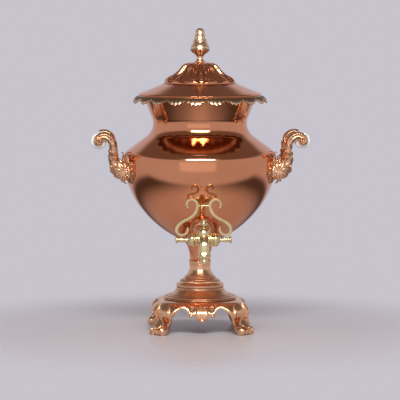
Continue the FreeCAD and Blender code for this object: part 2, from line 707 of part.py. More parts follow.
def lid_bezel():
    """The ring under the lid that drops inside the neck."""
    slope = math.atan2(DOME_RISE, LID_RADIUS - DOME_RADIUS)
    sheet_drop = LID_SHEET / math.cos(slope)
    inner = BEZEL_RADIUS - BEZEL_WALL
    rim = LID_FOOT + LID_RIM - sheet_drop - SEAM
    return turned(polygon(
        at(inner, LID_FOOT - BEZEL_DEPTH), at(BEZEL_RADIUS, LID_FOOT - BEZEL_DEPTH),
        at(BEZEL_RADIUS, rim + (LID_RADIUS - BEZEL_RADIUS) * math.tan(slope)),
        at(inner, rim + (LID_RADIUS - inner) * math.tan(slope)),
    ))


def finial_pieces():
    """The bud finial with its stud through the lid, and the washer and nut inside."""
    foot = FINIAL_FOOT + SEAM
    neck = at(FINIAL_NECK_RADIUS, foot + FINIAL_NECK_HEIGHT)
    bud = at(FINIAL_BUD_RADIUS, foot + FINIAL_BUD_HEIGHT)
    tip = at(0, foot + FINIAL_HEIGHT)
    spire = at(FINIAL_SPIRE_RADIUS, tip.z - FINIAL_SPIRE_RADIUS)
    collar = at(FINIAL_COLLAR_RADIUS, foot + FINIAL_COLLAR_HEIGHT)
    calyx = tangent_spans(neck, UP, [bud])
    spire_middle = at(0.5 * FINIAL_BUD_RADIUS + 0.2 * FINIAL_SPIRE_RADIUS, 0.5 * (bud.z + spire.z))
    tip_middle = at(0, spire.z) + heading_vector(45) * FINIAL_SPIRE_RADIUS
    inside = DOME_FOOT + DOME_RIBS[-1][1] - DOME_WALL
    washer_low = inside - SEAM - FINIAL_WASHER_THICKNESS
    nut_low = washer_low - SEAM - FINIAL_NUT_HEIGHT
    stud_low = nut_low - FINIAL_STUD_RADIUS
    edges = [edge_of(span) for span in calyx] + [
        line(at(FINIAL_COLLAR_RADIUS, foot), collar),
        line(collar, at(FINIAL_NECK_RADIUS, collar.z + FINIAL_COLLAR_HEIGHT / 2)),
        line(at(FINIAL_NECK_RADIUS, collar.z + FINIAL_COLLAR_HEIGHT / 2), neck),
        Part.Arc(bud, spire_middle, spire).toShape(),
        Part.Arc(spire, tip_middle, tip).toShape(),
        line(tip, at(0, stud_low)),
        line(at(0, stud_low), at(FINIAL_STUD_RADIUS, stud_low)),
        line(at(FINIAL_STUD_RADIUS, stud_low), at(FINIAL_STUD_RADIUS, foot)),
        line(at(FINIAL_STUD_RADIUS, foot), at(FINIAL_COLLAR_RADIUS, foot)),
    ]
    hole = cylinder(FINIAL_STUD_RADIUS + SEAM, at(0, stud_low), at(0, foot))
    washer = cylinder(FINIAL_WASHER_RADIUS, at(0, washer_low), at(0, inside - SEAM)).cut(hole)
    nut = hexagon(FINIAL_NUT_FLATS, FINIAL_NUT_HEIGHT, at(0, nut_low), UP).cut(hole)
    return {"finial": turned(loop_face(edges)), "finial_washer": washer, "finial_nut": nut}


# Handles

def ellipse_wire(centre, heading, half_height, half_depth):
    """An upright ellipse across a bracket: its long axis in the XZ plane, square to the heading."""
    ring = Part.Ellipse(ORIGIN, half_height, half_depth).toShape()
    across = left_of(heading)
    turn = FreeCAD.Rotation(across, BACK * -1, heading, "ZXY")
    ring.Placement = FreeCAD.Placement(centre, turn)
    return Part.Wire([ring])


def bracket():
    """One scroll bracket, on the right at the front: pad and stud, swelling arm, scroll and eye."""
    plane = V(0, -BRACKET_SPREAD, 0)
    sections = [
        ellipse_wire(at(HANDLE_WALL + out, PAD_Z + up) + plane, heading_vector(turn), half_height, half_depth)
        for out, up, turn, half_height, half_depth in BRACKET_STATIONS
    ]
    arm = Part.makeLoft(sections, True)
    eye_middle = at(GRIP_X, GRIP_Z) + plane
    half_eye = V(0, EYE_LENGTH / 2, 0)
    eye = cylinder(EYE_RADIUS, eye_middle - half_eye, eye_middle + half_eye)
    pad_blank = Part.Ellipse(ORIGIN, PAD_HALF_HEIGHT, PAD_HALF_WIDTH).toShape()
    pad_blank.Placement = FreeCAD.Placement(at(0, PAD_Z) + plane, FreeCAD.Rotation(UP, BACK, RIGHT, "ZXY"))
    pad = Part.Face(Part.Wire([pad_blank])).extrude(V(2 * BODY_RADIUS, 0, 0))
    pad = pad.common(vessel_space(PAD_THICKNESS))
    rod_hole = cylinder(GRIP_ROD_RADIUS + SEAM, eye_middle - half_eye * 2, eye_middle + half_eye * 2)
    casting = joined([arm, eye, pad]).cut(vessel_space(SEAM)).cut(rod_hole)
    stud_end = at(HANDLE_WALL - SHEET - STUD_REACH, PAD_Z) + plane
    stud = cylinder(STUD_RADIUS, stud_end, at(HANDLE_WALL + PAD_THICKNESS, PAD_Z) + plane)
    return joined([max(casting.Solids, key=lambda solid: solid.Volume), stud])


def handle_pieces():
    """Four brackets, two grips with their rods, and the fasteners of both handles."""
    pieces = {}
    right_front = bracket()
    pieces["right_front_bracket"] = right_front
    pieces["left_front_bracket"] = mirrored(right_front, RIGHT)
    pieces["right_rear_bracket"] = mirrored(right_front, BACK)
    pieces["left_rear_bracket"] = mirrored(mirrored(right_front, RIGHT), BACK)
    half_grip = BRACKET_SPREAD - EYE_LENGTH / 2 - SEAM
    nut_foot = BRACKET_SPREAD + EYE_LENGTH / 2 + SEAM
    end_nuts = []
    for side, x in (("left", -GRIP_X), ("right", GRIP_X)):
        middle = V(x, 0, GRIP_Z)
        crown = Part.Arc(V(GRIP_RADIUS - GRIP_CROWN, -half_grip, 0), V(GRIP_RADIUS, 0, 0),
                         V(GRIP_RADIUS - GRIP_CROWN, half_grip, 0)).toShape()
        front = V(0, -half_grip, 0)
        rear = V(0, half_grip, 0)
        section = loop_face([crown, line(crown.Vertexes[0].Point, front), line(front, rear),
                             line(rear, crown.Vertexes[1].Point)])
        grip = section.revolve(ORIGIN, BACK, 360)
        grip.translate(middle)
        grip = grip.makeFillet(GRIP_ROD_RADIUS, [edge for edge in grip.Edges if edge.Closed])
        reach = V(0, nut_foot + GRIP_NUT_HEIGHT / 2, 0)
        rod = cylinder(GRIP_ROD_RADIUS, middle - reach, middle + reach)
        pieces[side + "_grip"] = grip.cut(cylinder(GRIP_ROD_RADIUS + SEAM, middle - reach, middle + reach))
        pieces[side + "_grip_rod"] = rod
        for face in (-1, 1):
            foot = middle + V(0, face * nut_foot, 0)
            nut = cylinder(GRIP_NUT_RADIUS, foot, foot + V(0, face * GRIP_NUT_HEIGHT, 0))
            outer = [edge for edge in nut.Edges if edge.Closed and abs(edge.CenterOfMass.y - foot.y) > 1]
            nut = nut.makeFillet(GRIP_NUT_HEIGHT * 0.6, outer)
            end_nuts.append(nut.cut(cylinder(GRIP_ROD_RADIUS + SEAM, middle - reach, middle + reach)))
    washers = []
    nuts = []
    for inner, outer in bracket_axes():
        inward = (inner - outer).normalize()
        skin = V(inner.x - inward.x * STUD_REACH, inner.y, inner.z)
        far = skin + inward * (BRACKET_WASHER_THICKNESS + SHEET)
        hole = cylinder(STUD_RADIUS + SEAM, outer, inner)
        blank = cylinder(BRACKET_WASHER_RADIUS, outer, far)
        seat = turned(filled(shifted(VESSEL, SHEET + SEAM)))
        washers.append(blank.common(seat).cut(hole))
        nuts.append(hexagon(BRACKET_NUT_FLATS, BRACKET_NUT_HEIGHT, far + inward * SEAM, inward).cut(hole))
    pieces["grip_end_nuts"] = Part.makeCompound(end_nuts)
    pieces["bracket_washers"] = Part.makeCompound(washers)
    pieces["bracket_nuts"] = Part.makeCompound(nuts)
    return pieces


# Tap

def tap_mounting():
    """The stepped boss on the bowl, and the washer and nut on the shank inside it."""
    face = pipe_distance(BOSS_FACE)
    step = pipe_point(face + BOSS_STEP)
    deep = pipe_point(TAP_REACH)
    hole = cylinder(PIPE_RADIUS + SEAM, pipe_point(face - 1), deep)
    boss = joined([
        cylinder(BOSS_STEP_RADIUS, pipe_point(face), deep),
        cylinder(BOSS_RADIUS, step, deep),
    ])
    boss = boss.cut(vessel_space(SEAM)).cut(hole)
    boss = min(boss.Solids, key=lambda solid: solid.CenterOfMass.y)
    inward = (deep - step).normalize()
    shank_end = pipe_point(shank_reach())
    nut_foot = shank_end - inward * (TAP_NUT_HEIGHT + SHANK_RADIUS / 2)
    shank_hole = cylinder(SHANK_RADIUS + SEAM, step, deep)
    nut = hexagon(TAP_NUT_FLATS, TAP_NUT_HEIGHT, nut_foot, inward).cut(shank_hole)
    seat = turned(filled(shifted(VESSEL, SHEET + SEAM)))
    washer = cylinder(TAP_WASHER_RADIUS, step, nut_foot - inward * SEAM).common(seat).cut(shank_hole)
    washer = max(washer.Solids, key=lambda solid: solid.Volume)
    return {"tap_boss": boss, "tap_washer": washer, "tap_nut": nut}


def shank_reach():
    """Distance along the pipe, behind the plug axis, of the shank's end inside the vessel."""
    skin = cylinder(SEAM, pipe_point(0), pipe_point(TAP_REACH)).common(vessel_space(0))
    outermost = skin.BoundBox.YMin
    return (outermost + TAP_REACH) / math.cos(math.radians(PIPE_TILT)) + SHANK_REACH


def spout_solid(radius, flare_radius, start, end_height):
    """The spout as a bent pipe: forward from the barrel, round a bend and down with a flare."""
    axis_y = -TAP_REACH - SPOUT_FORWARD
    bend_y = axis_y + SPOUT_BEND
    level = TAP_Z
    neck = cylinder(radius, V(0, start, level), V(0, bend_y, level))
    ring = Part.Face(Part.Wire([Part.Circle(V(0, bend_y, level), BACK, radius).toShape()]))
    elbow = ring.revolve(V(0, bend_y, level - SPOUT_BEND), RIGHT, 90)
    fall_top = V(0, axis_y, level - SPOUT_BEND)
    fall = Part.makeCone(radius, flare_radius, level - SPOUT_BEND - end_height, fall_top, V(0, 0, -1))
    return joined([neck, elbow, fall])


def tap_body():
    """Shank, pipe, barrel and spout in one brass casting, bored through for the plug and the water."""
    face = pipe_distance(BOSS_FACE)
    barrel_middle = V(0, -TAP_REACH, TAP_Z)
    half = V(BARREL_HALF, 0, 0)
    ring_top = TAP_Z - SPOUT_DROP + SPOUT_RING_HEIGHT
    ring_low = TAP_Z - SPOUT_DROP
    spout_axis = V(0, -TAP_REACH - SPOUT_FORWARD, 0)
    plug_hole = cylinder(PLUG_RADIUS + RUNNING, barrel_middle - half * 2, barrel_middle + half * 2)
    casting = joined([
        cylinder(BARREL_RADIUS, barrel_middle - half, barrel_middle + half),
        cylinder(PIPE_RADIUS, pipe_point(0), pipe_point(face + BOSS_STEP)),
        cylinder(SHANK_RADIUS, pipe_point(0), pipe_point(shank_reach())),
        spout_solid(SPOUT_RADIUS, SPOUT_FLARE_RADIUS, -TAP_REACH, ring_top),
        cylinder(SPOUT_RING_RADIUS, spout_axis + V(0, 0, ring_low), spout_axis + V(0, 0, ring_top)),
    ])
    waterway = cylinder(PIPE_BORE, pipe_point(0), pipe_point(TAP_REACH))
    outlet = spout_solid(PIPE_BORE, PIPE_BORE + SEAM, -TAP_REACH, ring_low - 1)
    peg_hole = cylinder(FINIAL_PEG_RADIUS + SEAM, barrel_middle + V(0, 0, BARREL_RADIUS - FINIAL_PEG_DEPTH),
                        barrel_middle + V(0, 0, 2 * BARREL_RADIUS))
    return casting.cut([plug_hole, waterway, outlet, peg_hole])


def tap_fittings():
    """The nozzle under the spout ring, the finial on the barrel and the two glands that hold the plug."""
    ring_low = TAP_Z - SPOUT_DROP - SEAM
    spout_axis = V(0, -TAP_REACH - SPOUT_FORWARD, ring_low)
    down = V(0, 0, -1)
    nozzle = Part.makeCone(NOZZLE_TOP_RADIUS, NOZZLE_TIP_RADIUS, NOZZLE_LENGTH, spout_axis, down)
    nozzle = nozzle.cut(cylinder(PIPE_BORE, spout_axis - down, spout_axis + down * (NOZZLE_LENGTH + 1)))
    foot = at(BELL_RADIUS, TAP_Z + BELL_FOOT)
    bell_top = at(BELL_TOP_RADIUS, TAP_Z + BELL_TOP)
    bell_middle = at(0.8 * BELL_RADIUS + 0.15 * BELL_TOP_RADIUS, TAP_Z + 0.45 * BELL_FOOT + 0.55 * BELL_TOP)
    bell = turned(loop_face([
        Part.Arc(foot, bell_middle, bell_top).toShape(), line(bell_top, at(0, bell_top.z)),
        line(at(0, bell_top.z), at(0, foot.z)), line(at(0, foot.z), foot),
    ]))
    knob_middle = at(0, TAP_Z + KNOB_CENTRE)
    knob = Part.makeSphere(KNOB_RADIUS, knob_middle)
    tip = Part.makeCone(0.7 * KNOB_RADIUS, 0.2 * KNOB_RADIUS, KNOB_TIP - KNOB_CENTRE, knob_middle, UP)
    crown = joined([bell, knob, tip])
    barrel = cylinder(BARREL_RADIUS + SEAM, V(-2 * BELL_RADIUS, 0, TAP_Z), V(2 * BELL_RADIUS, 0, TAP_Z))
    crown = max(crown.cut(barrel).Solids, key=lambda solid: solid.CenterOfMass.z)
    peg_low = at(0, TAP_Z + BARREL_RADIUS - FINIAL_PEG_DEPTH + SEAM)
    peg = cylinder(FINIAL_PEG_RADIUS, peg_low, at(0, TAP_Z + BELL_TOP))
    crown = joined([crown, peg])
    crown.translate(V(0, -TAP_REACH, 0))
    spout_clear = spout_solid(SPOUT_RADIUS + SEAM, SPOUT_FLARE_RADIUS, -TAP_REACH, TAP_Z - SPOUT_DROP)
    pipe_clear = cylinder(PIPE_RADIUS + SEAM, pipe_point(0), pipe_point(TAP_REACH / 2))
    crown = max(crown.cut([spout_clear, pipe_clear]).Solids, key=lambda solid: solid.Volume)
    glands = []
    for side in (-1, 1):
        face = BARREL_HALF + SEAM
        end = face + GLAND_LENGTH
        section = loop_face([
            line(V(face, 0, 0), V(face, GLAND_RADIUS * 0.86, 0)),
            Part.Arc(V(face, GLAND_RADIUS * 0.86, 0), V(face + GLAND_LENGTH * 0.42, GLAND_RADIUS, 0),
                     V(end, GLAND_RADIUS * 0.5, 0)).toShape(),
            line(V(end, GLAND_RADIUS * 0.5, 0), V(end, 0, 0)),
            line(V(end, 0, 0), V(face, 0, 0)),
        ])
        gland = section.revolve(ORIGIN, RIGHT, 360)
        gland = gland.cut(cylinder(SPINDLE_RADIUS + RUNNING, ORIGIN, V(2 * end, 0, 0)))
        if side < 0:
            gland = mirrored(gland, RIGHT)
        gland.translate(V(0, -TAP_REACH, TAP_Z))
        glands.append(gland)
    return {"spout_nozzle": nozzle, "tap_finial": crown, "plug_glands": Part.makeCompound(glands)}


def lever_pieces():
    """The plug on its spindle, the lyre that turns it and the caps on the spindle's ends."""
    middle = V(0, -TAP_REACH, TAP_Z)
    half_plug = V(BARREL_HALF - LOOSE, 0, 0)
    rod_end = SPINDLE_HALF - SPINDLE_CAP_LENGTH / 2
    plug = joined([
        cylinder(PLUG_RADIUS, middle - half_plug, middle + half_plug),
        cylinder(SPINDLE_RADIUS, middle - V(rod_end, 0, 0), middle + V(rod_end, 0, 0)),
    ])
    port = V(0, 0, 2 * PLUG_RADIUS)
    plug = plug.cut(cylinder(PIPE_BORE, middle - port, middle + port))
    route = [at(*point) for point in LYRE_ARM]
    spans = tangent_spans(route[0], heading_vector(LYRE_START_HEADING), route[1:])
    begin, heading = spans[0][0]
    across = left_of(heading) * (STRAP_WIDTH / 2)
    deep = V(0, STRAP_DEPTH / 2, 0)
    corners = [begin - across - deep, begin + across - deep, begin + across + deep, begin - across + deep]
    strap = Part.makePolygon(corners + corners[:1])
    arm = Part.Wire([edge_of(span) for span in spans]).makePipeShell([strap], True, False)
    foot_half = V(LYRE_FOOT_LENGTH / 2, 0, 0)
    foot = cylinder(LYRE_FOOT_RADIUS, at(LYRE_FOOT, 0) - foot_half, at(LYRE_FOOT, 0) + foot_half)
    neck = at(*LYRE_NECK)
    bar = cylinder(TIE_BAR_RADIUS, mirrored_point(neck), neck)
    lyre = joined([arm, foot, bar, mirrored(arm, RIGHT), mirrored(foot, RIGHT)])
    lyre = lyre.cut(cylinder(SPINDLE_RADIUS + SEAM, at(-SPINDLE_HALF, 0), at(SPINDLE_HALF, 0)))
    lyre.translate(middle)
    caps = []
    for side in (-1, 1):
        inner = middle + V(side * (SPINDLE_HALF - SPINDLE_CAP_LENGTH), 0, 0)
        outer = middle + V(side * SPINDLE_HALF, 0, 0)
        socket = cylinder(SPINDLE_RADIUS + SEAM, middle, middle + V(side * (rod_end + SEAM), 0, 0))
        cap = cylinder(SPINDLE_CAP_RADIUS, inner, outer)
        cap = cap.makeFillet(SPINDLE_CAP_LENGTH / 4, [edge for edge in cap.Edges if edge.Closed])
        caps.append(cap.cut(socket))
    return {"tap_plug": plug, "lyre_lever": lyre, "spindle_caps": Part.makeCompound(caps)}


def build():
    """All pieces of the urn by name."""
    pieces = {
        "stand": stand(),
        "pedestal": pedestal(),
        "stem_socket": stem_socket(),
        "bowl": bowl(),
        "neck": neck(),
        "mouth_border": mouth_border(),
        "lid_shell": lid_shell(),
        "lid_bezel": lid_bezel(),
        "tap_body": tap_body(),
    }
    for group in (tie_pieces, heater_pieces, finial_pieces, handle_pieces):
        pieces.update(group())
    for group in (tap_mounting, tap_fittings, lever_pieces):
        pieces.update(group())
    return pieces


# The frame's origin lies on the ground, midway between the spout ring in front and the bowl behind.
FRONT_REACH = TAP_REACH + SPOUT_FORWARD + SPOUT_RING_RADIUS
URN_AXIS = V(0, (FRONT_REACH - BODY_RADIUS) / 2, 0)

os.makedirs("parts", exist_ok=True)
for name, piece in build().items():
    piece.translate(URN_AXIS)
    piece.exportStep("parts/" + name + ".step")
    print(name, len(piece.Solids), piece.isValid(), round(piece.Volume))
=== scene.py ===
"""Looks of a copper tea urn: surfaces worked out with numpy, and procedural finishes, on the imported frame."""

import logging
import math
from dataclasses import dataclass, field, replace
from enum import Enum
from typing import Callable, Optional, Sequence

import bmesh
import bpy
import numpy as np
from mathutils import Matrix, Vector

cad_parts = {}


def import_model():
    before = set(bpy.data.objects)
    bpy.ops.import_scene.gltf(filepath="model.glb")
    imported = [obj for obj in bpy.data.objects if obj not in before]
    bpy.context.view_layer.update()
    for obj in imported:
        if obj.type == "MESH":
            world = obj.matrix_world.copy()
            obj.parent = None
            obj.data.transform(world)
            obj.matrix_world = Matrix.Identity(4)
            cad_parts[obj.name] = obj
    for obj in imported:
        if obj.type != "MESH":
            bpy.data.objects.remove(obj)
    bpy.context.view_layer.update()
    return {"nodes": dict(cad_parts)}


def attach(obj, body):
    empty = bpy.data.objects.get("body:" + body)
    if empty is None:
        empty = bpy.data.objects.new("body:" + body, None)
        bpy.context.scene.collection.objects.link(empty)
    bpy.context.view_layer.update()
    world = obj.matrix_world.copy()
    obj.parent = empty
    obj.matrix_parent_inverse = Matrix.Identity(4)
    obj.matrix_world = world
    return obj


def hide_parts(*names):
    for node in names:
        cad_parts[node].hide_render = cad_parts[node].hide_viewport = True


Array = np.ndarray
Relief = Callable[[Array, Array], tuple]
LOG = logging.getLogger("tea_urn")
MM = 0.001
# Points nearer to each other than this, in metres, become one.
WELD = 2e-6
TAU = 2 * math.pi
URN_AXIS = np.array([0.0, 22.0, 0.0])
X_AXIS = np.array([1.0, 0.0, 0.0])
Y_AXIS = np.array([0.0, 1.0, 0.0])
Z_AXIS = np.array([0.0, 0.0, 1.0])
# A Mix node finds its colour sockets by number, because their names repeat those of its other kinds.
MIX_FIRST, MIX_SECOND, MIX_RESULT = 6, 7, 2


class Body(Enum):
    """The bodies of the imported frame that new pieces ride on."""

    URN = "urn"
    LID = "lid"
    LEVER = "tap_lever"


class Slot(Enum):
    """The record's material slots."""

    COPPER = "copper"
    BRONZE = "bronze"
    TAP_BRASS = "tap_brass"
    PORCELAIN = "porcelain"
    IRON = "iron"
    FASTENER = "fastener_brass"


def bump(distance: Array, width: float) -> Array:
    """A bell curve: one at distance zero, falling with the square of distance over width.

    Args:
        distance: distances from the bell's middle.
        width: distance at which the bell has fallen to a third.

    Returns:
        The bell's height at each distance.
    """
    return np.exp(-((distance / width) ** 2))


def step(value: Array, low: float, high: float) -> Array:
    """A smooth rise from zero at low to one at high.

    Args:
        value: where to read the rise.
        low: value at which it starts.
        high: value at which it ends.

    Returns:
        The rise at each value, three t squared less two t cubed.
    """
    t = np.clip((value - low) / (high - low), 0.0, 1.0)
    return t * t * (3 - 2 * t)


@dataclass
class Skin:
    """A grid surface: points[u, v] in mm about the urn's axis, with the painted shade that each point gets (its
    hollow value).
    """

    points: Array
    hollow: Optional[Array] = None
    wrap_u: bool = True
    wrap_v: bool = False

    def depths(self) -> Array:
        """The hollow values, which are painted shade, as one row, zero where none were given.

        Returns:
            One value for each point.
        """
        if self.hollow is None:
            return np.zeros(self.points.shape[0] * self.points.shape[1])
        return np.broadcast_to(self.hollow, self.points.shape[:2]).ravel()

    def quads(self, first: int) -> Array:
        """Corner numbers of the grid's quads.

        Args:
            first: number of the grid's first point in the whole mesh.

        Returns:
            One row of four point numbers for each quad.
        """
        rows, columns = self.points.shape[:2]
        u = np.arange(rows if self.wrap_u else rows - 1)[:, None]
        v = np.arange(columns if self.wrap_v else columns - 1)[None, :]
        next_u = (u + 1) % rows
        next_v = (v + 1) % columns
        corners = np.broadcast_arrays(
            u * columns + v, next_u * columns + v, next_u * columns + next_v, u * columns + next_v)
        return first + np.stack(corners, axis=-1).reshape(-1, 4)

    def placed(self, origin: Array, axis: Array, side: Optional[Array] = None) -> "Skin":
        """The skin turned so that its Z lies along an axis, then moved.

        Args:
            origin: where the skin's own origin goes.
            axis: direction that its Z takes.
            side: direction that its X takes, square to the axis.

        Returns:
            A new skin.
        """
        along = np.asarray(axis, float) / np.linalg.norm(axis)
        if side is None:
            side = np.cross(Y_AXIS if abs(along[1]) < 0.9 else X_AXIS, along)
        across = np.asarray(side, float) / np.linalg.norm(side)
        third = np.cross(along, across)
        turned = self.points @ np.stack([across, third, along])
        return replace(self, points=turned + np.asarray(origin, float))

    def mirrored(self, axis: int) -> "Skin":
        """The skin with one coordinate's sign changed.

        Args:
            axis: number of that coordinate.

        Returns:
            A new skin.
        """
        points = self.points.copy()
        points[..., axis] *= -1
        return replace(self, points=points)

    def quarter_turned(self, quarters: int) -> "Skin":
        """The skin turned about the urn's axis.

        Args:
            quarters: number of quarter turns.

        Returns:
            A new skin.
        """
        angle = quarters * math.pi / 2
        cos, sin = math.cos(angle), math.sin(angle)
        return replace(self, points=self.points @ np.array([[cos, sin, 0], [-sin, cos, 0], [0, 0, 1]]))


@dataclass(frozen=True)
class Dress:
    """A finished material and the record's slot that it fills."""

    material: bpy.types.Material
    slot: Slot


def assemble(name: str, skins: Sequence[Skin], body: Body, dress: Dress, nodes: Sequence[str],
             sharp: float = 40.0) -> None:
    """Puts skins into one mesh object, at the origin, that rides on a body.

    Args:
        name: the piece's name.
        skins: its closed grid surfaces.
        body: the body it moves with.
        dress: its finish.
        nodes: solids of the frame that it stands for.
        sharp: angle in degrees past which an edge is shaded as an edge.
    """
    starts = np.cumsum([0] + [skin.points.shape[0] * skin.points.shape[1] for skin in skins])
    points = (np.concatenate([skin.points.reshape(-1, 3) for skin in skins]) + URN_AXIS) * MM
    quads = np.concatenate([skin.quads(int(first)) for skin, first in zip(skins, starts)])
    mesh = bpy.data.meshes.new(name)
    mesh.vertices.add(len(points))
    mesh.vertices.foreach_set("co", points.astype(np.float32).ravel())
    mesh.loops.add(quads.size)
    mesh.loops.foreach_set("vertex_index", quads.astype(np.int32).ravel())
    mesh.polygons.add(len(quads))
    mesh.polygons.foreach_set("loop_start", np.arange(0, quads.size, 4, dtype=np.int32))
    mesh.update(calc_edges=True)
    # The hollow attribute holds painted shade; the finishes mix their shade colour in by it.
    layer = mesh.attributes.new("hollow", "FLOAT", "POINT")
    layer.data.foreach_set("value", np.concatenate([skin.depths() for skin in skins]).astype(np.float32))
    welded = bmesh.new()
    welded.from_mesh(mesh)
    bmesh.ops.remove_doubles(welded, verts=welded.verts[:], dist=WELD)
    bmesh.ops.recalc_face_normals(welded, faces=welded.faces[:])
    welded.to_mesh(mesh)
    welded.free()
    mesh.polygons.foreach_set("use_smooth", np.ones(len(mesh.polygons), dtype=bool))
    mesh.set_sharp_from_angle(angle=math.radians(sharp))
    mesh.materials.append(dress.material)
    piece = bpy.data.objects.new(name, mesh)
    bpy.context.scene.collection.objects.link(piece)
    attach(piece, body.value)
    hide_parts(*nodes)
    LOG.info("%s: %d faces on %s", name, len(mesh.polygons), body.value)


def arc_chain(start: complex, heading: complex, ends: Sequence[complex], per: int = 14) -> Array:
    """Arcs through points, each tangent to the one before, in the complex plane of radius and height.

    An arc leaves its start at the tangent and bends by twice the angle between tangent and chord, so its
    point at share t is start plus chord times sin(bend t) over sin(bend), turned by bend times (t - 1).

    Args:
        start: first point.
        heading: direction in which the first arc leaves.
        ends: the points at which the arcs end.
        per: points on each arc.

    Returns:
        The chain as rows of radius and height.
    """
    pieces = [np.array([start])]
    tangent = heading / abs(heading)
    share = np.linspace(0, 1, per + 1)[1:]
    for end in ends:
        chord = end - start
        bend = np.angle(chord / tangent)
        ratio = share if abs(bend) < 1e-6 else np.sin(bend * share) / np.sin(bend)
        pieces.append(start + chord * ratio * np.exp(1j * bend * (share - 1)))
        tangent = tangent * np.exp(2j * bend)
        start = end
    chain = np.concatenate(pieces)
    return np.stack([chain.real, chain.imag], axis=1)


def through(points: Sequence, per: int = 10) -> Array:
    """A smooth curve through points: cubic pieces whose slopes are the mean slopes of the neighbouring runs.

    Args:
        points: rows of two or three coordinates.
        per: points on each piece.

    Returns:
        The curve's points.
    """
    knots = np.asarray(points, float)
    gaps = np.linalg.norm(np.diff(knots, axis=0), axis=1)
    slopes = np.gradient(knots, np.concatenate([[0.0], np.cumsum(gaps)]), axis=0)
    t = np.linspace(0, 1, per, endpoint=False)[None, :, None]
    reach = gaps[:, None, None]
    curve = ((2 * t ** 3 - 3 * t ** 2 + 1) * knots[:-1, None]
             + (t ** 3 - 2 * t ** 2 + t) * reach * slopes[:-1, None]
             + (3 * t ** 2 - 2 * t ** 3) * knots[1:, None]
             + (t ** 3 - t ** 2) * reach * slopes[1:, None])
    return np.concatenate([curve.reshape(-1, knots.shape[1]), knots[-1:]])


def rounded(points: Sequence, radius: float, per: int = 5) -> Array:
    """Straight runs with each inner corner rounded by a parabola that touches both runs.

    Args:
        points: the corners.
        radius: how far from a corner the rounding starts, at most.
        per: points on each rounded corner.

    Returns:
        The outline's points.
    """
    knots = np.asarray(points, float)
    before = knots[:-2] - knots[1:-1]
    after = knots[2:] - knots[1:-1]
    long_before = np.linalg.norm(before, axis=1)[:, None]
    long_after = np.linalg.norm(after, axis=1)[:, None]
    reach = np.minimum(radius, 0.45 * np.minimum(long_before, long_after))
    first = (knots[1:-1] + before / long_before * reach)[:, None]
    last = (knots[1:-1] + after / long_after * reach)[:, None]
    t = np.linspace(0, 1, per)[None, :, None]
    corner = (1 - t) ** 2 * first + 2 * t * (1 - t) * knots[1:-1][:, None] + t ** 2 * last
    return np.concatenate([knots[:1], corner.reshape(-1, knots.shape[1]), knots[-1:]])


def beside(outline: Array, distance: float) -> Array:
    """The outline moved sideways to its left by a distance, along its own normals.

    Args:
        outline: rows of radius and height.
        distance: how far, in mm.

    Returns:
        The moved outline.
    """
    slope = np.gradient(outline, axis=0)
    slope = slope / np.linalg.norm(slope, axis=1)[:, None]
    moved = outline + np.stack([-slope[:, 1], slope[:, 0]], axis=1) * distance
    moved[:, 0] = np.maximum(moved[:, 0], 0.0)
    return moved


def lathe(outline: Array, turns: int = 96, relief: Optional[Relief] = None, ring: bool = False) -> Skin:
    """An outline turned about Z: x is r cos(angle), y is r sin(angle), with the relief added to r.

    Args:
        outline: rows of radius and height, on the axis at both ends unless it is a ring.
        turns: points round the axis.
        relief: from angles and outline to what is added to the radius and how much painted shade that place
            gets.
        ring: whether the outline closes on itself.

    Returns:
        The turned skin.
    """
    angle = np.linspace(0, TAU, turns, endpoint=False)[:, None]
    added, hollow = relief(angle, outline) if relief else (0.0, None)
    radius = outline[None, :, 0] + added
    height = np.broadcast_to(outline[None, :, 1], (turns, len(outline)))
    radius = np.broadcast_to(radius, height.shape)
    points = np.stack([radius * np.cos(angle), radius * np.sin(angle), height], axis=-1)
    return Skin(points, hollow, True, ring)


def sweep(path: Array, binormal: Array, section: Array, width: Array, depth: Array,
          swell: Optional[Array] = None, dark: Optional[Array] = None) -> Skin:
    """A closed section carried along a flat path, with a flat end at each end.

    A point is the path's point, plus the path's normal times the section's first coordinate times width, plus
    the binormal times its second coordinate times depth; both are multiplied by one plus the swell.

    Args:
        path: the path's points.
        binormal: the direction square to the path's plane.
        section: rows of two coordinates round the section.
        width: size along the normal at each path point.
        depth: size along the binormal at each path point.
        swell: share added to the section, for each path point and section point.
        dark: painted shade at each of those points.

    Returns:
        The swept skin.
    """
    count = len(path)
    tangent = np.gradient(path, axis=0)
    tangent = tangent / np.linalg.norm(tangent, axis=1)[:, None]
    normal = np.cross(binormal, tangent)
    grown = 1.0 + (np.zeros((count, len(section))) if swell is None else swell)
    across = np.broadcast_to(width, count)[:, None] * section[None, :, 0] * grown
    deep = np.broadcast_to(depth, count)[:, None] * section[None, :, 1] * grown
    points = path[:, None] + normal[:, None] * across[..., None] + binormal * deep[..., None]
    ends = [np.broadcast_to(path[k], (1, len(section), 3)) for k in (0, -1)]
    hollow = None if dark is None else np.concatenate([dark[:1], dark, dark[-1:]])
    return Skin(np.concatenate([ends[0], points, ends[1]]), hollow, False, True)


def leaf_blade(root: Array, along: Array, face: Array, length: float, width: float, curl: float) -> Skin:
    """A leaf: a pointed spindle pressed flat, with a groove down its middle and a tip that curls.

    At share t of its length its half width is width times sin(pi t^0.75); its thickness is a third of that,
    and the curl adds t squared times its size along the face direction.

    Args:
        root: where the leaf springs from.
        along: direction in which it grows.
        face: direction that its face looks in.
        length: its length.
        width: its half width.
        curl: how far its tip bends towards the face.

    Returns:
        The leaf's skin.
    """
    t = np.linspace(0, 1, 17)
    skin = lathe(np.stack([width * np.sin(math.pi * t ** 0.75).clip(0), length * t], axis=1), 28)
    across, deep, far = np.moveaxis(skin.points, -1, 0)
    groove = bump(across / width, 0.22) * (deep > 0)
    lifted = deep / 3 * (1 - 0.7 * groove) + curl * (far / length) ** 2
    skin.points = np.stack([across, lifted, far], axis=-1)
    # Painted shade down the leaf's groove.
    skin.hollow = 0.8 * groove
    return skin.placed(root, along, np.cross(face, along))


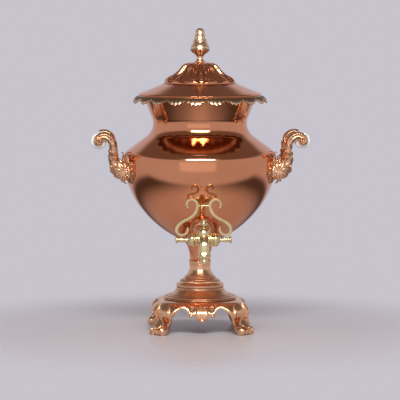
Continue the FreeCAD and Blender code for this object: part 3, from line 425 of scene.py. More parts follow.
def circle(count: int) -> Array:
    """Points of a unit circle."""
    angle = np.linspace(0, TAU, count, endpoint=False)
    return np.stack([np.cos(angle), np.sin(angle)], axis=1)


def ball(centre: Sequence[float], sizes: Sequence[float], count: int = 24) -> Skin:
    """An ellipsoid: a half circle from pole to pole turned about Z, with each axis at its own size.

    Args:
        centre: its middle.
        sizes: its three half axes.
        count: points round it.

    Returns:
        The ellipsoid's skin.
    """
    polar = np.linspace(0, math.pi, count // 2 + 1)
    skin = lathe(np.stack([np.sin(polar), np.cos(polar)], axis=1), count)
    skin.points = skin.points * np.asarray(sizes, float) + np.asarray(centre, float)
    return skin


def add_node(tree: bpy.types.NodeTree, kind: str, values: Optional[dict] = None,
             **settings: object) -> bpy.types.Node:
    """Adds a shader node.

    Args:
        tree: the node tree that it goes in.
        kind: the node's type.
        values: default values by the input's name or number.
        settings: the node's own properties.

    Returns:
        The node.
    """
    node = tree.nodes.new(kind)
    for label, value in settings.items():
        setattr(node, label, value)
    for label, value in (values or {}).items():
        node.inputs[label].default_value = value
    return node


class Effects:
    """Node groups that several finishes share, each built once."""

    def __init__(self) -> None:
        """Builds the groups."""
        self.toning = self._toning_and_shade()
        self.marks = self._marks()

    @staticmethod
    def _group(name: str, inputs: Sequence[tuple], outputs: Sequence[tuple]) -> tuple:
        """Starts a shader node group.

        Args:
            name: the group's name.
            inputs: name, socket kind and default value of each input.
            outputs: name and socket kind of each output.

        Returns:
            The group with its input and output nodes.
        """
        group = bpy.data.node_groups.new(name, "ShaderNodeTree")
        for label, kind, value in inputs:
            socket = group.interface.new_socket(label, in_out="INPUT", socket_type=kind)
            socket.default_value = value
        for label, kind in outputs:
            group.interface.new_socket(label, in_out="OUTPUT", socket_type=kind)
        return group, group.nodes.new("NodeGroupInput"), group.nodes.new("NodeGroupOutput")

    @staticmethod
    def _math(group: bpy.types.NodeTree, operation: str, first: object,
              second: object) -> bpy.types.NodeSocket:
        """Adds a clamped math node.

        Args:
            group: the group that it goes in.
            operation: what it does with its operands.
            first: its first operand, a socket or a number.
            second: its second operand, a socket or a number.

        Returns:
            Its output.
        """
        node = add_node(group, "ShaderNodeMath", operation=operation, use_clamp=True)
        for socket, value in zip(node.inputs, (first, second)):
            if isinstance(value, (int, float)):
                socket.default_value = value
            else:
                group.links.new(value, socket)
        return node.outputs[0]

    @staticmethod
    def _mix(group: bpy.types.NodeTree, share: object, first: object, second: object) -> bpy.types.NodeSocket:
        """Adds a colour mix.

        Args:
            group: the group that it goes in.
            share: the socket that says how much of the second colour there is.
            first: the first colour's socket.
            second: the second colour's socket.

        Returns:
            Its output.
        """
        node = add_node(group, "ShaderNodeMix", data_type="RGBA")
        for place, socket in (("Factor", share), (MIX_FIRST, first), (MIX_SECOND, second)):
            group.links.new(socket, node.inputs[place])
        return node.outputs[MIX_RESULT]

    @staticmethod
    def _noise(group: bpy.types.NodeTree, scale: object, detail: float, stretch: Sequence[float]) -> object:
        """Adds a noise on Object coordinates, stretched by a mapping.

        Args:
            group: the group that it goes in.
            scale: the socket that gives its scale.
            detail: how many finer noises it adds.
            stretch: the mapping's scale along each axis.

        Returns:
            The noise's value.
        """
        place = add_node(group, "ShaderNodeTexCoord")
        mapping = add_node(group, "ShaderNodeMapping", {"Scale": stretch})
        noise = add_node(group, "ShaderNodeTexNoise", {"Detail": detail, "Roughness": 0.6})
        group.links.new(place.outputs["Object"], mapping.inputs["Vector"])
        group.links.new(mapping.outputs["Vector"], noise.inputs["Vector"])
        group.links.new(scale, noise.inputs["Scale"])
        return noise.outputs["Fac"]

    @staticmethod
    def _shade_mask(group: bpy.types.NodeTree) -> bpy.types.NodeSocket:
        """Adds the mesh's hollow attribute, which holds painted shade, and returns its value."""
        return add_node(group, "ShaderNodeAttribute", attribute_name="hollow").outputs["Fac"]

    def _toning_and_shade(self) -> bpy.types.NodeTree:
        """Clouds of tarnish over a polish, with painted shade mixed into the hollows.

        Returns:
            The group, which puts out a colour.
        """
        colour, number = "NodeSocketColor", "NodeSocketFloat"
        group, given, result = self._group(
            "toning",
            [("Polished", colour, (0.8, 0.5, 0.4, 1)), ("Toned", colour, (0.5, 0.3, 0.2, 1)),
             ("Hollow", colour, (0.1, 0.06, 0.04, 1)), ("Cloud Scale", number, 20.0),
             ("Toning", number, 0.4), ("Depth", number, 1.0)],
            [("Colour", colour)])
        clouds = self._noise(group, given.outputs["Cloud Scale"], 5.0, (1, 1, 1))
        lifted = self._math(group, "SUBTRACT", clouds, 0.38)
        share = self._math(group, "MULTIPLY", self._math(group, "MULTIPLY", lifted, 3.0),
                           given.outputs["Toning"])
        toned = self._mix(group, share, given.outputs["Polished"], given.outputs["Toned"])
        # Painted shade: the hollow colour is mixed in by the mesh's hollow attribute times the depth.
        deep = self._math(group, "MULTIPLY", self._shade_mask(group), given.outputs["Depth"])
        group.links.new(self._mix(group, deep, toned, given.outputs["Hollow"]), result.inputs["Colour"])
        return group

    def _marks(self) -> bpy.types.NodeTree:
        """Fine wiping marks: a stretched noise moves the roughness, and a finer one gives the bump's height.

        Returns:
            The group, which puts out a roughness and a height.
        """
        number = "NodeSocketFloat"
        group, given, result = self._group(
            "wiping_marks",
            [("Scale", number, 60.0), ("Fine Scale", number, 700.0), ("Smooth", number, 0.1),
             ("Spread", number, 0.1), ("Hollow Roughness", number, 0.3)],
            [("Roughness", number), ("Height", number)])
        broad = self._noise(group, given.outputs["Scale"], 6.0, (1, 1, 2.5))
        spread = self._math(group, "MULTIPLY", broad, given.outputs["Spread"])
        deep = self._math(group, "MULTIPLY", self._shade_mask(group), given.outputs["Hollow Roughness"])
        rough = self._math(group, "ADD", given.outputs["Smooth"], self._math(group, "ADD", spread, deep))
        group.links.new(rough, result.inputs["Roughness"])
        fine = self._noise(group, given.outputs["Fine Scale"], 4.0, (1, 1, 6.0))
        group.links.new(fine, result.inputs["Height"])
        return group

    def material(self, name: str, toning: dict, marks: dict) -> tuple:
        """Starts a material whose colour and roughness come from the two groups.

        Args:
            name: the material's name.
            toning: values for the toning's inputs.
            marks: values for the wiping marks' inputs.

        Returns:
            The material, its shader node and its node of wiping marks.
        """
        made = bpy.data.materials.new(name)
        made.use_nodes = True
        tree = made.node_tree
        shader = tree.nodes["Principled BSDF"]
        tone = add_node(tree, "ShaderNodeGroup", toning, node_tree=self.toning)
        wiped = add_node(tree, "ShaderNodeGroup", marks, node_tree=self.marks)
        tree.links.new(tone.outputs["Colour"], shader.inputs["Base Color"])
        tree.links.new(wiped.outputs["Roughness"], shader.inputs["Roughness"])
        return made, shader, wiped


@dataclass(frozen=True)
class MetalFinish:
    """A polished metal with toning clouds, wiping marks and painted shade in its hollows."""

    name: str
    slot: Slot
    polished: tuple
    toned: tuple
    # hollow is the colour of the painted shade; depth, below, is how strongly it is mixed in.
    hollow: tuple
    cloud_scale: float
    toning: float
    smooth: float
    spread: float
    bump: float
    depth: float = 0.9
    bump_distance: float = 0.0002

    def dress(self, effects: Effects) -> Dress:
        """Makes the material.

        Args:
            effects: the shared node groups.

        Returns:
            The material with its slot.
        """
        made, shader, marks = effects.material(
            self.name,
            {"Polished": (*self.polished, 1.0), "Toned": (*self.toned, 1.0), "Hollow": (*self.hollow, 1.0),
             "Cloud Scale": self.cloud_scale, "Toning": self.toning, "Depth": self.depth},
            {"Smooth": self.smooth, "Spread": self.spread})
        tree = made.node_tree
        shader.inputs["Metallic"].default_value = 1.0
        raised = add_node(tree, "ShaderNodeBump", {"Strength": self.bump, "Distance": self.bump_distance})
        tree.links.new(marks.outputs["Height"], raised.inputs["Height"])
        tree.links.new(raised.outputs["Normal"], shader.inputs["Normal"])
        return Dress(made, self.slot)


@dataclass(frozen=True)
class GlazeFinish:
    """White glazed porcelain: faint warm clouds under a clear, hard coat."""

    name: str
    slot: Slot
    white: tuple
    shade: tuple
    cloud_scale: float = 35.0
    toning: float = 0.5
    smooth: float = 0.12
    spread: float = 0.12
    coat: float = 0.6
    coat_roughness: float = 0.04

    def dress(self, effects: Effects) -> Dress:
        """Makes the material.

        Args:
            effects: the shared node groups.

        Returns:
            The material with its slot.
        """
        made, shader, _ = effects.material(
            self.name,
            {"Polished": (*self.white, 1.0), "Toned": (*self.shade, 1.0), "Cloud Scale": self.cloud_scale,
             "Toning": self.toning},
            {"Smooth": self.smooth, "Spread": self.spread})
        shader.inputs["Coat Weight"].default_value = self.coat
        shader.inputs["Coat Roughness"].default_value = self.coat_roughness
        return Dress(made, self.slot)


class Finishes:
    """All finishes of the urn as materials."""

    # The third colour of each metal is its painted shade, for grooves, creases and undersides.
    COPPER = MetalFinish(
        "polished_copper", Slot.COPPER, (0.80, 0.34, 0.175), (0.64, 0.24, 0.11), (0.16, 0.045, 0.02),
        cloud_scale=14.0, toning=0.45, smooth=0.07, spread=0.10, bump=0.03)
    BRONZE = MetalFinish(
        "rose_bronze", Slot.BRONZE, (0.88, 0.53, 0.32), (0.68, 0.37, 0.20), (0.17, 0.075, 0.035),
        cloud_scale=45.0, toning=0.5, smooth=0.16, spread=0.16, bump=0.12)
    BORDER = MetalFinish(
        "gilt_border", Slot.BRONZE, (0.92, 0.64, 0.40), (0.66, 0.42, 0.23), (0.10, 0.055, 0.03),
        cloud_scale=60.0, toning=0.5, smooth=0.15, spread=0.16, bump=0.12, depth=1.0)
    BRASS = MetalFinish(
        "tap_brass", Slot.TAP_BRASS, (0.80, 0.65, 0.37), (0.56, 0.44, 0.21), (0.13, 0.10, 0.045),
        cloud_scale=60.0, toning=0.6, smooth=0.14, spread=0.16, bump=0.12)
    FASTENER = MetalFinish(
        "turned_brass", Slot.FASTENER, (0.70, 0.52, 0.28), (0.45, 0.32, 0.15), (0.10, 0.07, 0.03),
        cloud_scale=80.0, toning=0.7, smooth=0.28, spread=0.2, bump=0.2)
    IRON = MetalFinish(
        "dark_iron", Slot.IRON, (0.10, 0.095, 0.09), (0.16, 0.09, 0.06), (0.02, 0.02, 0.02),
        cloud_scale=50.0, toning=0.8, smooth=0.45, spread=0.25, bump=0.5)
    PORCELAIN = GlazeFinish("white_porcelain", Slot.PORCELAIN, (0.95, 0.95, 0.93), (0.90, 0.89, 0.86))

    def __init__(self) -> None:
        """Builds every material once."""
        effects = Effects()
        self.copper = self.COPPER.dress(effects)
        self.bronze = self.BRONZE.dress(effects)
        self.border = self.BORDER.dress(effects)
        self.brass = self.BRASS.dress(effects)
        self.fastener = self.FASTENER.dress(effects)
        self.iron = self.IRON.dress(effects)
        self.porcelain = self.PORCELAIN.dress(effects)


@dataclass
class Vessel:
    """The raised copper vessel: bowl, shoulder and neck."""

    body_radius: float = 106.0
    bowl_mid: complex = 83.4 - 67.0j
    bowl_low: complex = 41.0 - 105.0j
    bowl_bottom: float = 122.5
    shoulder_round: float = 15.6
    shoulder_slope: float = 53.2
    waist_radius: float = 65.2
    neck_round: float = 22.0
    flare_round: float = 21.0
    flare_slope: float = 21.9
    mouth_rise: float = 37.0
    sheet: float = 1.5
    seam: float = 0.12
    lap: float = 4.0
    outline: Array = field(init=False)
    widest: float = field(init=False)

    def __post_init__(self) -> None:
        """Works out the outer outline from the floor to the rim, and the height of its widest line."""
        fall = arc_chain(self.body_radius + 0j, -1j, [self.bowl_mid, self.bowl_low], 40)
        last = complex(*(fall[-1] - fall[-2]))
        steep = math.atan2(-last.imag, -last.real)
        floor = 1j * (self.bowl_low.imag - self.bowl_low.real * math.tan(steep / 2))
        base = arc_chain(self.bowl_low, last, [floor], 20)
        slope = math.radians(self.shoulder_slope)
        flare = math.radians(self.flare_slope)
        shoulder = complex(self.body_radius - self.shoulder_round * (1 - math.cos(slope)),
                           self.shoulder_round * math.sin(slope))
        neck_radius = self.waist_radius + self.neck_round * (1 - math.cos(slope))
        neck = complex(neck_radius, shoulder.imag + (shoulder.real - neck_radius) / math.tan(slope))
        waist = complex(self.waist_radius, neck.imag + self.neck_round * math.sin(slope))
        flared = complex(self.waist_radius + self.flare_round * (1 - math.cos(flare)),
                         waist.imag + self.flare_round * math.sin(flare))
        rise = waist.imag + self.mouth_rise
        rim = complex(flared.real + (rise - flared.imag) * math.tan(flare), rise)
        climb = arc_chain(self.body_radius + 0j, 1j, [shoulder, neck, waist, flared, rim], 18)
        self.widest = self.bowl_bottom - floor.imag
        joined = np.concatenate([base[::-1], fall[::-1][1:], climb[1:]])
        self.outline = joined + np.array([0.0, self.widest])

    def radius_at(self, height: Array) -> Array:
        """Outer radius at each height."""
        return np.interp(height, self.outline[:, 1], self.outline[:, 0])

    def build(self, finishes: Finishes) -> None:
        """Makes the vessel's two sheets, each with two skins: the bowl, and the neck lapped into it.

        Args:
            finishes: the urn's materials.
        """
        inside = beside(self.outline, self.sheet)
        inside[0, 0] = 0.0
        inside[:, 1] = np.minimum(inside[:, 1], self.outline[-1, 1])
        split = int(np.argmax(self.outline[:, 0]))
        low, low_inside = self.outline[:split + 1].copy(), inside[:split + 1].copy()
        low[-1, 1] -= self.seam
        low_inside[-1, 1] -= self.seam
        bowl = lathe(np.concatenate([low, low_inside[::-1]]), 200)
        assemble("bowl_sheet", [bowl], Body.URN, finishes.copper, ["bowl"])
        outer = self.body_radius - self.sheet - self.seam
        lapped = np.array([[outer - self.sheet, self.widest], [outer - self.sheet, self.widest - self.lap],
                           [outer, self.widest - self.lap], [outer, self.widest]])
        high = np.concatenate([self.outline[split:], inside[split + 2:][::-1], lapped])
        assemble("neck_sheet", [lathe(high, 200, ring=True)], Body.URN, finishes.copper, ["neck"])


@dataclass
class MouthBorder:
    """The scalloped border round the mouth, with fine teeth along each scallop."""

    scallops: int = 20
    turn: float = 3.0
    inner: float = 74.2
    seat: float = 85.0
    tip: complex = 92.3 - 8.6j
    thickness: float = 1.9
    top: float = 327.23
    flutes: int = 5
    grain: int = 44
    rows: int = 26

    def build(self, finishes: Finishes) -> None:
        """Makes the border: a flange that droops into shells, short at the notches and toothed between.

        The skirt's share s runs from the seat to an edge that draws back at each notch and between the teeth;
        the shells' flutes add a cosine across each scallop that grows with s.

        Args:
            finishes: the urn's materials.
        """
        columns = self.scallops * self.grain
        angle = np.linspace(0, TAU, columns, endpoint=False)
        across = (angle - math.radians(self.turn)) * self.scallops / TAU
        across = across - np.floor(across)
        place = across * self.flutes
        wave = 1 - np.abs(2 * (place - np.floor(place)) - 1)
        edge = 0.42 + 0.56 * (1 - np.abs(2 * across - 1) ** 1.7) + 0.2 * wave
        share = np.linspace(0, 1, self.rows)[None, :] * edge[:, None]
        skirt = arc_chain(self.seat + 0j, 1 - 0.42j, [self.tip], 60)
        beyond = skirt[-1] + (skirt[-1] - skirt[-2]) * 12
        skirt = np.concatenate([skirt, beyond[None]])
        run = np.concatenate([np.linspace(0, 1, 61), [1.2]])
        radius = np.interp(share, run, skirt[:, 0])
        height = np.interp(share, run, skirt[:, 1])
        shells = np.abs(np.cos((across - 0.5) * math.pi))[:, None] ** 0.6
        flute = (0.85 * shells - 0.55) * share + 0.55 * (wave[:, None] - 0.6) * share
        outer = np.stack([radius + flute, height + 0.5 * flute], axis=-1)
        under = outer - self.thickness * np.array([0.75, 0.55])
        flat = np.broadcast_to([[self.inner, 0.0], [self.inner + 1, 0.0], [self.seat - 2, 0.0]],
                               (columns, 3, 2))
        low = np.broadcast_to([[self.seat - 2, -self.thickness], [self.inner, -self.thickness]],
                              (columns, 2, 2))
        grid = np.concatenate([flat, outer, under[:, :0:-1], low], axis=1)
        # Painted shade: the skirt's face is darkened between the seat and the toothed edge, and its whole
        # underside too, so the tips stay bright.
        body = step(share, 0.06, 0.2) * (1 - step(share / edge[:, None], 0.74, 0.94)) * 0.85
        back = np.full((columns, self.rows - 1), 0.8)
        dark = np.concatenate([np.zeros((columns, 3)), body, back, np.zeros((columns, 2))], axis=1)
        points = np.stack([grid[..., 0] * np.cos(angle)[:, None], grid[..., 0] * np.sin(angle)[:, None],
                           grid[..., 1] + self.top], axis=-1)
        skin = Skin(points, np.clip(dark, 0, 1), True, True)
        assemble("mouth_border_shells", [skin], Body.URN, finishes.border, ["mouth_border"], 60.0)


@dataclass
class Lid:
    """The lift-off lid: a low cone, a dome of scoops between ribs, and a bud finial."""

    foot: float = 327.53
    rim: float = 1.8
    radius: float = 85.0
    sheet: float = 1.5
    dome_foot: float = 343.93
    dome_radius: float = 49.5
    dome_wall: float = 2.4
    lobes: int = 12
    scoop: float = 0.15
    rib_half: float = 2.7
    panel_foot: float = 1.6
    panel_turn: float = 7.5
    ribs: tuple = ((49.5, 0.0), (49.0, 3.6), (45.5, 7.0), (36.5, 12.0), (29.5, 18.0), (25.6, 23.0),
                   (21.0, 26.4), (11.0, 29.0))
    bezel_seat: float = 42.2
    finial_rise: float = 29.1
    stud: tuple = ((0.0, -10.4), (2.5, -10.4), (2.5, 0.0), (7.4, 0.0), (7.4, 1.2), (6.0, 2.0))
    bud: tuple = ((6.0, 2.0), (4.9, 4.0), (4.5, 7.0), (6.8, 10.5), (11.6, 14.2), (13.2, 18.0), (12.4, 22.0),
                  (10.2, 26.5), (8.3, 31.0), (7.1, 36.0), (6.5, 40.0), (5.4, 43.6), (3.2, 46.2), (0.0, 47.0))
    bud_widest: float = 17.8
    gadroons: int = 10
    leaf_row: float = 7.0

    def shell(self, finishes: Finishes) -> None:
        """Makes the lid's shell.

        On the dome the radius is the rib's radius less a scoop inside each panel. A panel is as wide as the
        lobe less the ribs' bands and closes below in a half ellipse, so that the bands flow together into a
        rolled foot.

        Args:
            finishes: the urn's materials.
        """
        dome = through(self.ribs, 11)[::-1] + np.array([0.0, self.dome_foot])
        rise = self.foot + self.rim
        brim = [self.radius - 0.6, rise + 0.2]
        cone = np.linspace([self.dome_radius - 0.2, self.dome_foot - 0.1], brim, 16)
        rolled = through([brim, [self.radius, rise - 0.6], [self.radius - 0.3, self.foot]], 5)
        slope = (self.dome_foot - rise) / (self.radius - self.dome_radius)
        drop = self.sheet * math.hypot(1, slope)
        under = np.array([[self.radius - self.sheet, self.foot],
                          [self.radius - self.sheet, rise + slope - drop],
                          [self.bezel_seat, rise + (self.radius - self.bezel_seat) * slope - drop]])
        hollow = dome[::-1] * np.array([1 - self.scoop, 1.0]) - self.dome_wall
        hollow[:, 0] = np.minimum(hollow[:, 0], self.bezel_seat - 0.1)
        outline = np.concatenate([[[0.0, dome[0, 1]]], dome, cone, rolled[1:], under, hollow[4:],
                                  [[0.0, hollow[-1, 1]]]])
        first, last = 1, 1 + len(dome)

        def relief(angle: Array, line: Array) -> tuple:
            """Scooped panels of the dome between its ribs.

            Args:
                angle: angles round the axis.
                line: rows of radius and height.

            Returns:
                What is added to the radius, and the painted shade at each point.
            """
            lobe = (angle + math.pi / 2) * self.lobes / TAU + 0.5
            t = lobe - np.floor(lobe) - 0.5
            on_dome = np.zeros(len(line))
            on_dome[first:last] = 1.0
            radius, climb = line[:, 0], line[:, 1] - self.dome_foot
            side = np.abs(t) * radius * TAU / self.lobes
            panel = radius * math.pi / self.lobes - self.rib_half
            below = ((self.panel_turn - climb) / (self.panel_turn - self.panel_foot)).clip(0)
            bottom = np.sqrt(np.clip(1 - below ** 2, 0, 1))
            inside = step(panel * bottom - side, -0.3, 3.2) * on_dome
            scooped = -self.scoop * radius * inside * (1 - 0.55 * (side / panel.clip(1.0)) ** 2)
            fade = step(radius, 12.0, 20.0) * on_dome
            crest = 0.9 * bump(radius * math.pi / self.lobes - side, 2.6) * fade * step(climb, 3.0, 8.0)
            # Painted shade along the panels' edges and in the crease at the dome's foot.
            edge_dark = 0.35 * bump(panel * bottom - side - 0.9, 0.8) * fade
            foot_dark = 0.7 * bump(climb + 0.1, 0.8) * (np.abs(radius - self.dome_radius) < 2.5)
            return scooped + crest, np.clip(edge_dark + foot_dark, 0, 1)

        skin = lathe(outline, self.lobes * 40, relief)
        assemble("lid_dome", [skin], Body.LID, finishes.copper, ["lid_shell"], 50.0)

    def finial(self, finishes: Finishes) -> None:
        """Makes the bud finial: gadroons below and rows of overlapping leaves above, on a collar and stud.

        Args:
            finishes: the urn's materials.
        """
        foot = self.dome_foot + self.finial_rise
        outline = np.concatenate([rounded(self.stud, 0.5)[:-1], through(self.bud, 9)]) + np.array([0.0, foot])

        def relief(angle: Array, line: Array) -> tuple:
            """Gadroons up to the bud's widest line and leaf rows above it.

            Args:
                angle: angles round the axis.
                line: rows of radius and height.

            Returns:
                What is added to the radius, and the painted shade at each point.
            """
            climb = line[:, 1] - foot
            calyx = step(climb, 6.5, 9.5) * (1 - step(climb, 17.0, 18.5))
            gadroon = np.abs(np.cos(angle * self.gadroons / 2)) ** 0.6 - 0.75
            leaves = step(climb, 18.5, 20.0) * (1 - step(climb, 43.0, 46.0))
            turned = math.pi / 2 * np.floor(climb / self.leaf_row)
            row = climb / self.leaf_row - 0.5 * np.abs(np.sin(angle * 3.0 + turned))
            tooth = row - np.floor(row)
            leaf = (0.55 - tooth) * 0.8
            ring = 0.9 * bump(climb - self.bud_widest, 0.7)
            added = calyx * gadroon * 0.8 + leaves * leaf * 0.45 + ring
            # Painted shade between the gadroons and under the tips of each leaf row.
            dark = calyx * np.clip(0.2 - 1.6 * gadroon, 0, 1) + leaves * step(tooth, 0.72, 0.98)
            return added * (line[:, 0] > 3), np.clip(dark, 0, 1)

        skin = lathe(outline, 160, relief)
        assemble("bud_finial", [skin], Body.LID, finishes.border, ["finial"], 70.0)


@dataclass
class Foot:
    """The cast stand, the moulded pedestal and the copper stem socket."""

    height: float = 44.0
    plate: float = 3.5
    wall: float = 4.0
    corner: float = 31.0
    side: tuple = ((50.0, 44.0), (53.2, 43.4), (58.6, 40.6), (62.8, 35.9), (65.0, 30.1), (63.8, 24.2),
                   (60.5, 15.7), (61.5, 10.5), (68.0, 6.0))
    arch: complex = 27.0 + 37.0j
    waist: complex = 41.5 + 22.0j
    foot: complex = 48.5 - 1.0j
    toe: Array = field(default_factory=lambda: np.array([60.0, 60.0, 5.5]))
    pendant: complex = 9.5 + 27.83j
    pendant_tip: complex = 18.5j
    lobe: complex = 14.0 + 26.0j
    lobe_end: complex = 18.5 + 29.67j
    rise: complex = 21.05 + 34.25j
    leg: complex = 35.7 + 31.0j
    hole: float = 4.3
    toe_roll: tuple = ((0.0, 13.6), (3.0, 13.2), (5.4, 11.4), (6.3, 8.6), (5.6, 6.0), (4.7, 4.2), (5.5, 0.0))
    beads: tuple = (((0, -65.0, 20.2), (4.4, 3.2, 2.9)), ((15.0, -66.0, 26.6), (2.8, 2.3, 2.1)),
                    ((-15.0, -66.0, 26.6), (2.8, 2.3, 2.1)))
    collar: tuple = ((0.0, 96.5), (15.3, 96.5), (15.3, 94.4), (14.5, 94.0), (14.5, 92.8), (15.2, 92.4),
                     (15.2, 90.6), (14.2, 90.0))
    flare: tuple = ((14.2, 90.0), (14.6, 86.0), (16.4, 81.8), (19.6, 76.4), (23.6, 72.2))
    rings: tuple = ((23.6, 72.2), (24.6, 71.9), (24.9, 70.9), (26.6, 70.4), (27.9, 68.4), (28.2, 67.2),
                    (30.4, 66.4), (32.9, 64.6), (33.0, 61.6), (32.2, 60.6))
    cove: tuple = ((32.2, 60.6), (33.6, 57.2), (36.2, 54.4), (39.4, 52.3), (43.4, 50.2), (48.0, 48.3))
    base: tuple = ((48.0, 48.3), (49.8, 48.2), (50.8, 47.6), (51.0, 46.8), (49.4, 46.4), (49.0, 45.9),
                   (50.2, 45.6), (50.6, 45.0), (50.2, 44.5), (48.4, 44.1), (43.9, 44.1), (24.0, 47.5),
                   (8.8, 78.0), (4.3, 82.5), (0.0, 82.5))
    underside_points: int = 24
    bore_points: int = 17
    bead_height: float = 69.4
    bead_count: int = 72
    threads: tuple = (76.2, 74.4, 64.6, 57.6, 51.4, 49.6)
    trumpet: tuple = ((14.0, 99.4), (14.4, 103.0), (15.4, 109.0), (17.0, 115.5), (19.8, 121.0), (24.4, 125.4))
    trumpet_foot: tuple = ((0.0, 96.6), (15.0, 96.6), (15.6, 97.4), (15.0, 98.6), (14.0, 99.4))

    def opening(self) -> tuple:
        """The edge of the opening between two legs, for half a side.

        Returns:
            The apron's edge as rows of x and z up to the arch's top, and the leg's edge below it.
        """
        def arc(begin: complex, middle: complex, end: complex) -> Array:
            """An arc through three points, by the tangent that they fix at its start.

            Args:
                begin: its first point.
                middle: a point on the way.
                end: its last point.

            Returns:
                Rows of x and z.
            """
            turn = np.angle((end - middle) / (middle - begin))
            chord = (end - begin) / abs(end - begin)
            return arc_chain(begin, chord * np.exp(-1j * turn), [end], 24)

        pendant = arc(-self.pendant.conjugate(), self.pendant_tip, self.pendant)
        lobe = arc(self.pendant, self.lobe, self.lobe_end)
        rise = arc(self.lobe_end, self.rise, self.arch)
        apron = np.concatenate([pendant[pendant[:, 0] >= 0], lobe[1:], rise[1:]])
        leg = arc(self.arch, self.leg, self.waist)
        return apron, np.concatenate([leg, [[self.foot.real, self.foot.imag]]])

    def quarter(self) -> tuple:
        """One quarter of the stand's plan, from the middle of the front to the middle of the right side.

        Returns:
            Path points, outward directions and the height of the lower edge at each of them.
        """
        apron, leg = self.opening()
        sampled = through(self.side, 12)[::-1]
        x = np.linspace(0, self.corner, 70)
        turn = np.radians(np.concatenate([np.linspace(0, 32, 50)[1:], np.linspace(32, 45, 12)[1:]]))
        z = np.linspace(self.arch.imag - 0.01, 3.5, 900)
        edge_x = np.interp(z, leg[::-1, 1], leg[::-1, 0])
        reach = np.interp(z, sampled[:, 1], sampled[:, 0]) - self.corner

        def leg_edge(surface: Array) -> Array:
            """The first height, going down, at which the leg's edge lies outside the surface.

            Args:
                surface: x of the surface at each height, for each path point.

            Returns:
                That height for each path point.
            """
            cut = surface < edge_x[None, :]
            return np.where(cut.any(axis=1), z[cut.argmax(axis=1)], z[-1])

        low_side = np.interp(x, apron[:, 0], apron[:, 1])
        past = x > self.arch.real
        low_side[past] = leg_edge(np.broadcast_to(x[past][:, None], (past.sum(), len(z))))
        low_turn = leg_edge(self.corner + reach[None, :] * np.sin(turn)[:, None])
        path = np.concatenate([np.stack([x, np.full_like(x, -self.corner)], 1),
                               np.broadcast_to([self.corner, -self.corner], (len(turn), 2))])
        out = np.concatenate([np.broadcast_to([0.0, -1.0], (len(x), 2)),
                              np.stack([np.sin(turn), -np.cos(turn)], 1)])
        low = np.concatenate([low_side, low_turn])
        flip = np.array([[0.0, -1.0], [-1.0, 0.0]])
        return (np.concatenate([path, (path @ flip)[-2:0:-1]]), np.concatenate([out, (out @ flip)[-2:0:-1]]),
                np.concatenate([low, low[-2:0:-1]]))

    def stand(self, finishes: Finishes) -> None:
        """Makes the stand: a wall carried round a rounded square, closed by its plate, with toes and drops.

        A point of the wall is its path point plus the wall profile's reach at that height along the outward
        direction, plus a rolled lip along the lower edge, a ridge down the middle of each leg and bosses over
        the pendants.

        Args:
            finishes: the urn's materials.
        """
        path, out, low = self.quarter()
        quarter_turn = np.array([[0.0, 1.0], [-1.0, 0.0]])
        turns = [np.linalg.matrix_power(quarter_turn, k) for k in range(4)]
        path = np.concatenate([path @ turn for turn in turns])
        out = np.concatenate([out @ turn for turn in turns])
        low = np.tile(low, 4)
        sampled = through(self.side, 12)[::-1]
        share = 1 - (1 - np.linspace(0, 1, 49)) ** 1.25
        z = self.height + (low[:, None] - self.height) * share[None, :]
        reach = np.interp(z, sampled[:, 1], sampled[:, 0]) - self.corner
        base = path[:, None] + out[:, None] * reach[..., None]
        length = np.linalg.norm(np.diff(np.concatenate([base[:, -1], base[:1, -1]]), axis=0), axis=1) + 1e-6
        slant = np.gradient(low) / length
        near = (z - low[:, None]) / np.hypot(1, np.clip(slant, -6, 6))[:, None]
        diagonal = np.abs(np.abs(out[:, 0]) - np.abs(out[:, 1]))[:, None]
        on_leg = (1 - step(diagonal, 0.25, 0.75)) * (1 - step(z, 33.0, 42.0))
        along = np.minimum(np.abs(path[:, :1]), np.abs(path[:, 1:]))
        lip = 2.5 * bump(near - 3.2, 3.6) * (0.55 + 0.45 * step(along, 15.0, 24.0))
        ridge = 0.9 * on_leg * bump(diagonal, 0.36)
        bosses = 2.4 * bump(along, 11.0) * bump(z - 25.5, 9.0)
        bosses = bosses + 0.5 * bump(along - 15.0, 5.0) * bump(z - 28.5, 4.5)
        swell = (lip * (near < 18) + ridge + bosses) * step(self.height - z, 0.5, 4.0)
        outer = np.concatenate([base + out[:, None] * swell[..., None], z[..., None]], axis=-1)
        inner_z = np.minimum(z, self.height - self.plate)
        inner = np.concatenate([base - out[:, None] * self.wall, inner_z[..., None]], axis=-1)[:, ::-4]
        spread = np.arctan2(base[:, 0, 1], base[:, 0, 0])
        around = np.stack([self.hole * np.cos(spread), self.hole * np.sin(spread)], axis=1)
        hole = np.concatenate([around, np.full((len(path), 1), self.height)], axis=1)[:, None]
        drop = np.array([0, 0, self.plate])
        points = np.concatenate([hole, outer, inner, hole - drop], axis=1)
        # Painted shade in a band just above the rolled lip, and over the whole inside wall and underside of the
        # plate.
        dark = 0.4 * bump(near - 9.0, 2.4) * step(self.height - z, 3.0, 8.0) * step(along, 12.0, 22.0)
        inside_shade = np.full((len(path), inner.shape[1] + 1), 0.6)
        hollow = np.concatenate([np.zeros((len(path), 1)), dark, inside_shade], axis=1)
        skins = [Skin(points, hollow, True, True)] + self.toes() + self.drops()
        assemble("footed_stand", skins, Body.URN, finishes.bronze, ["stand"], 60.0)

    def toes(self) -> list:
        """Four toe rolls with a ball volute at each end and a curled leaf over the top, flat on the ground.

        Returns:
            Their skins.
        """
        half = through(self.toe_roll, 6)
        outline = np.concatenate([half, (half * np.array([1, -1]))[-2::-1]])

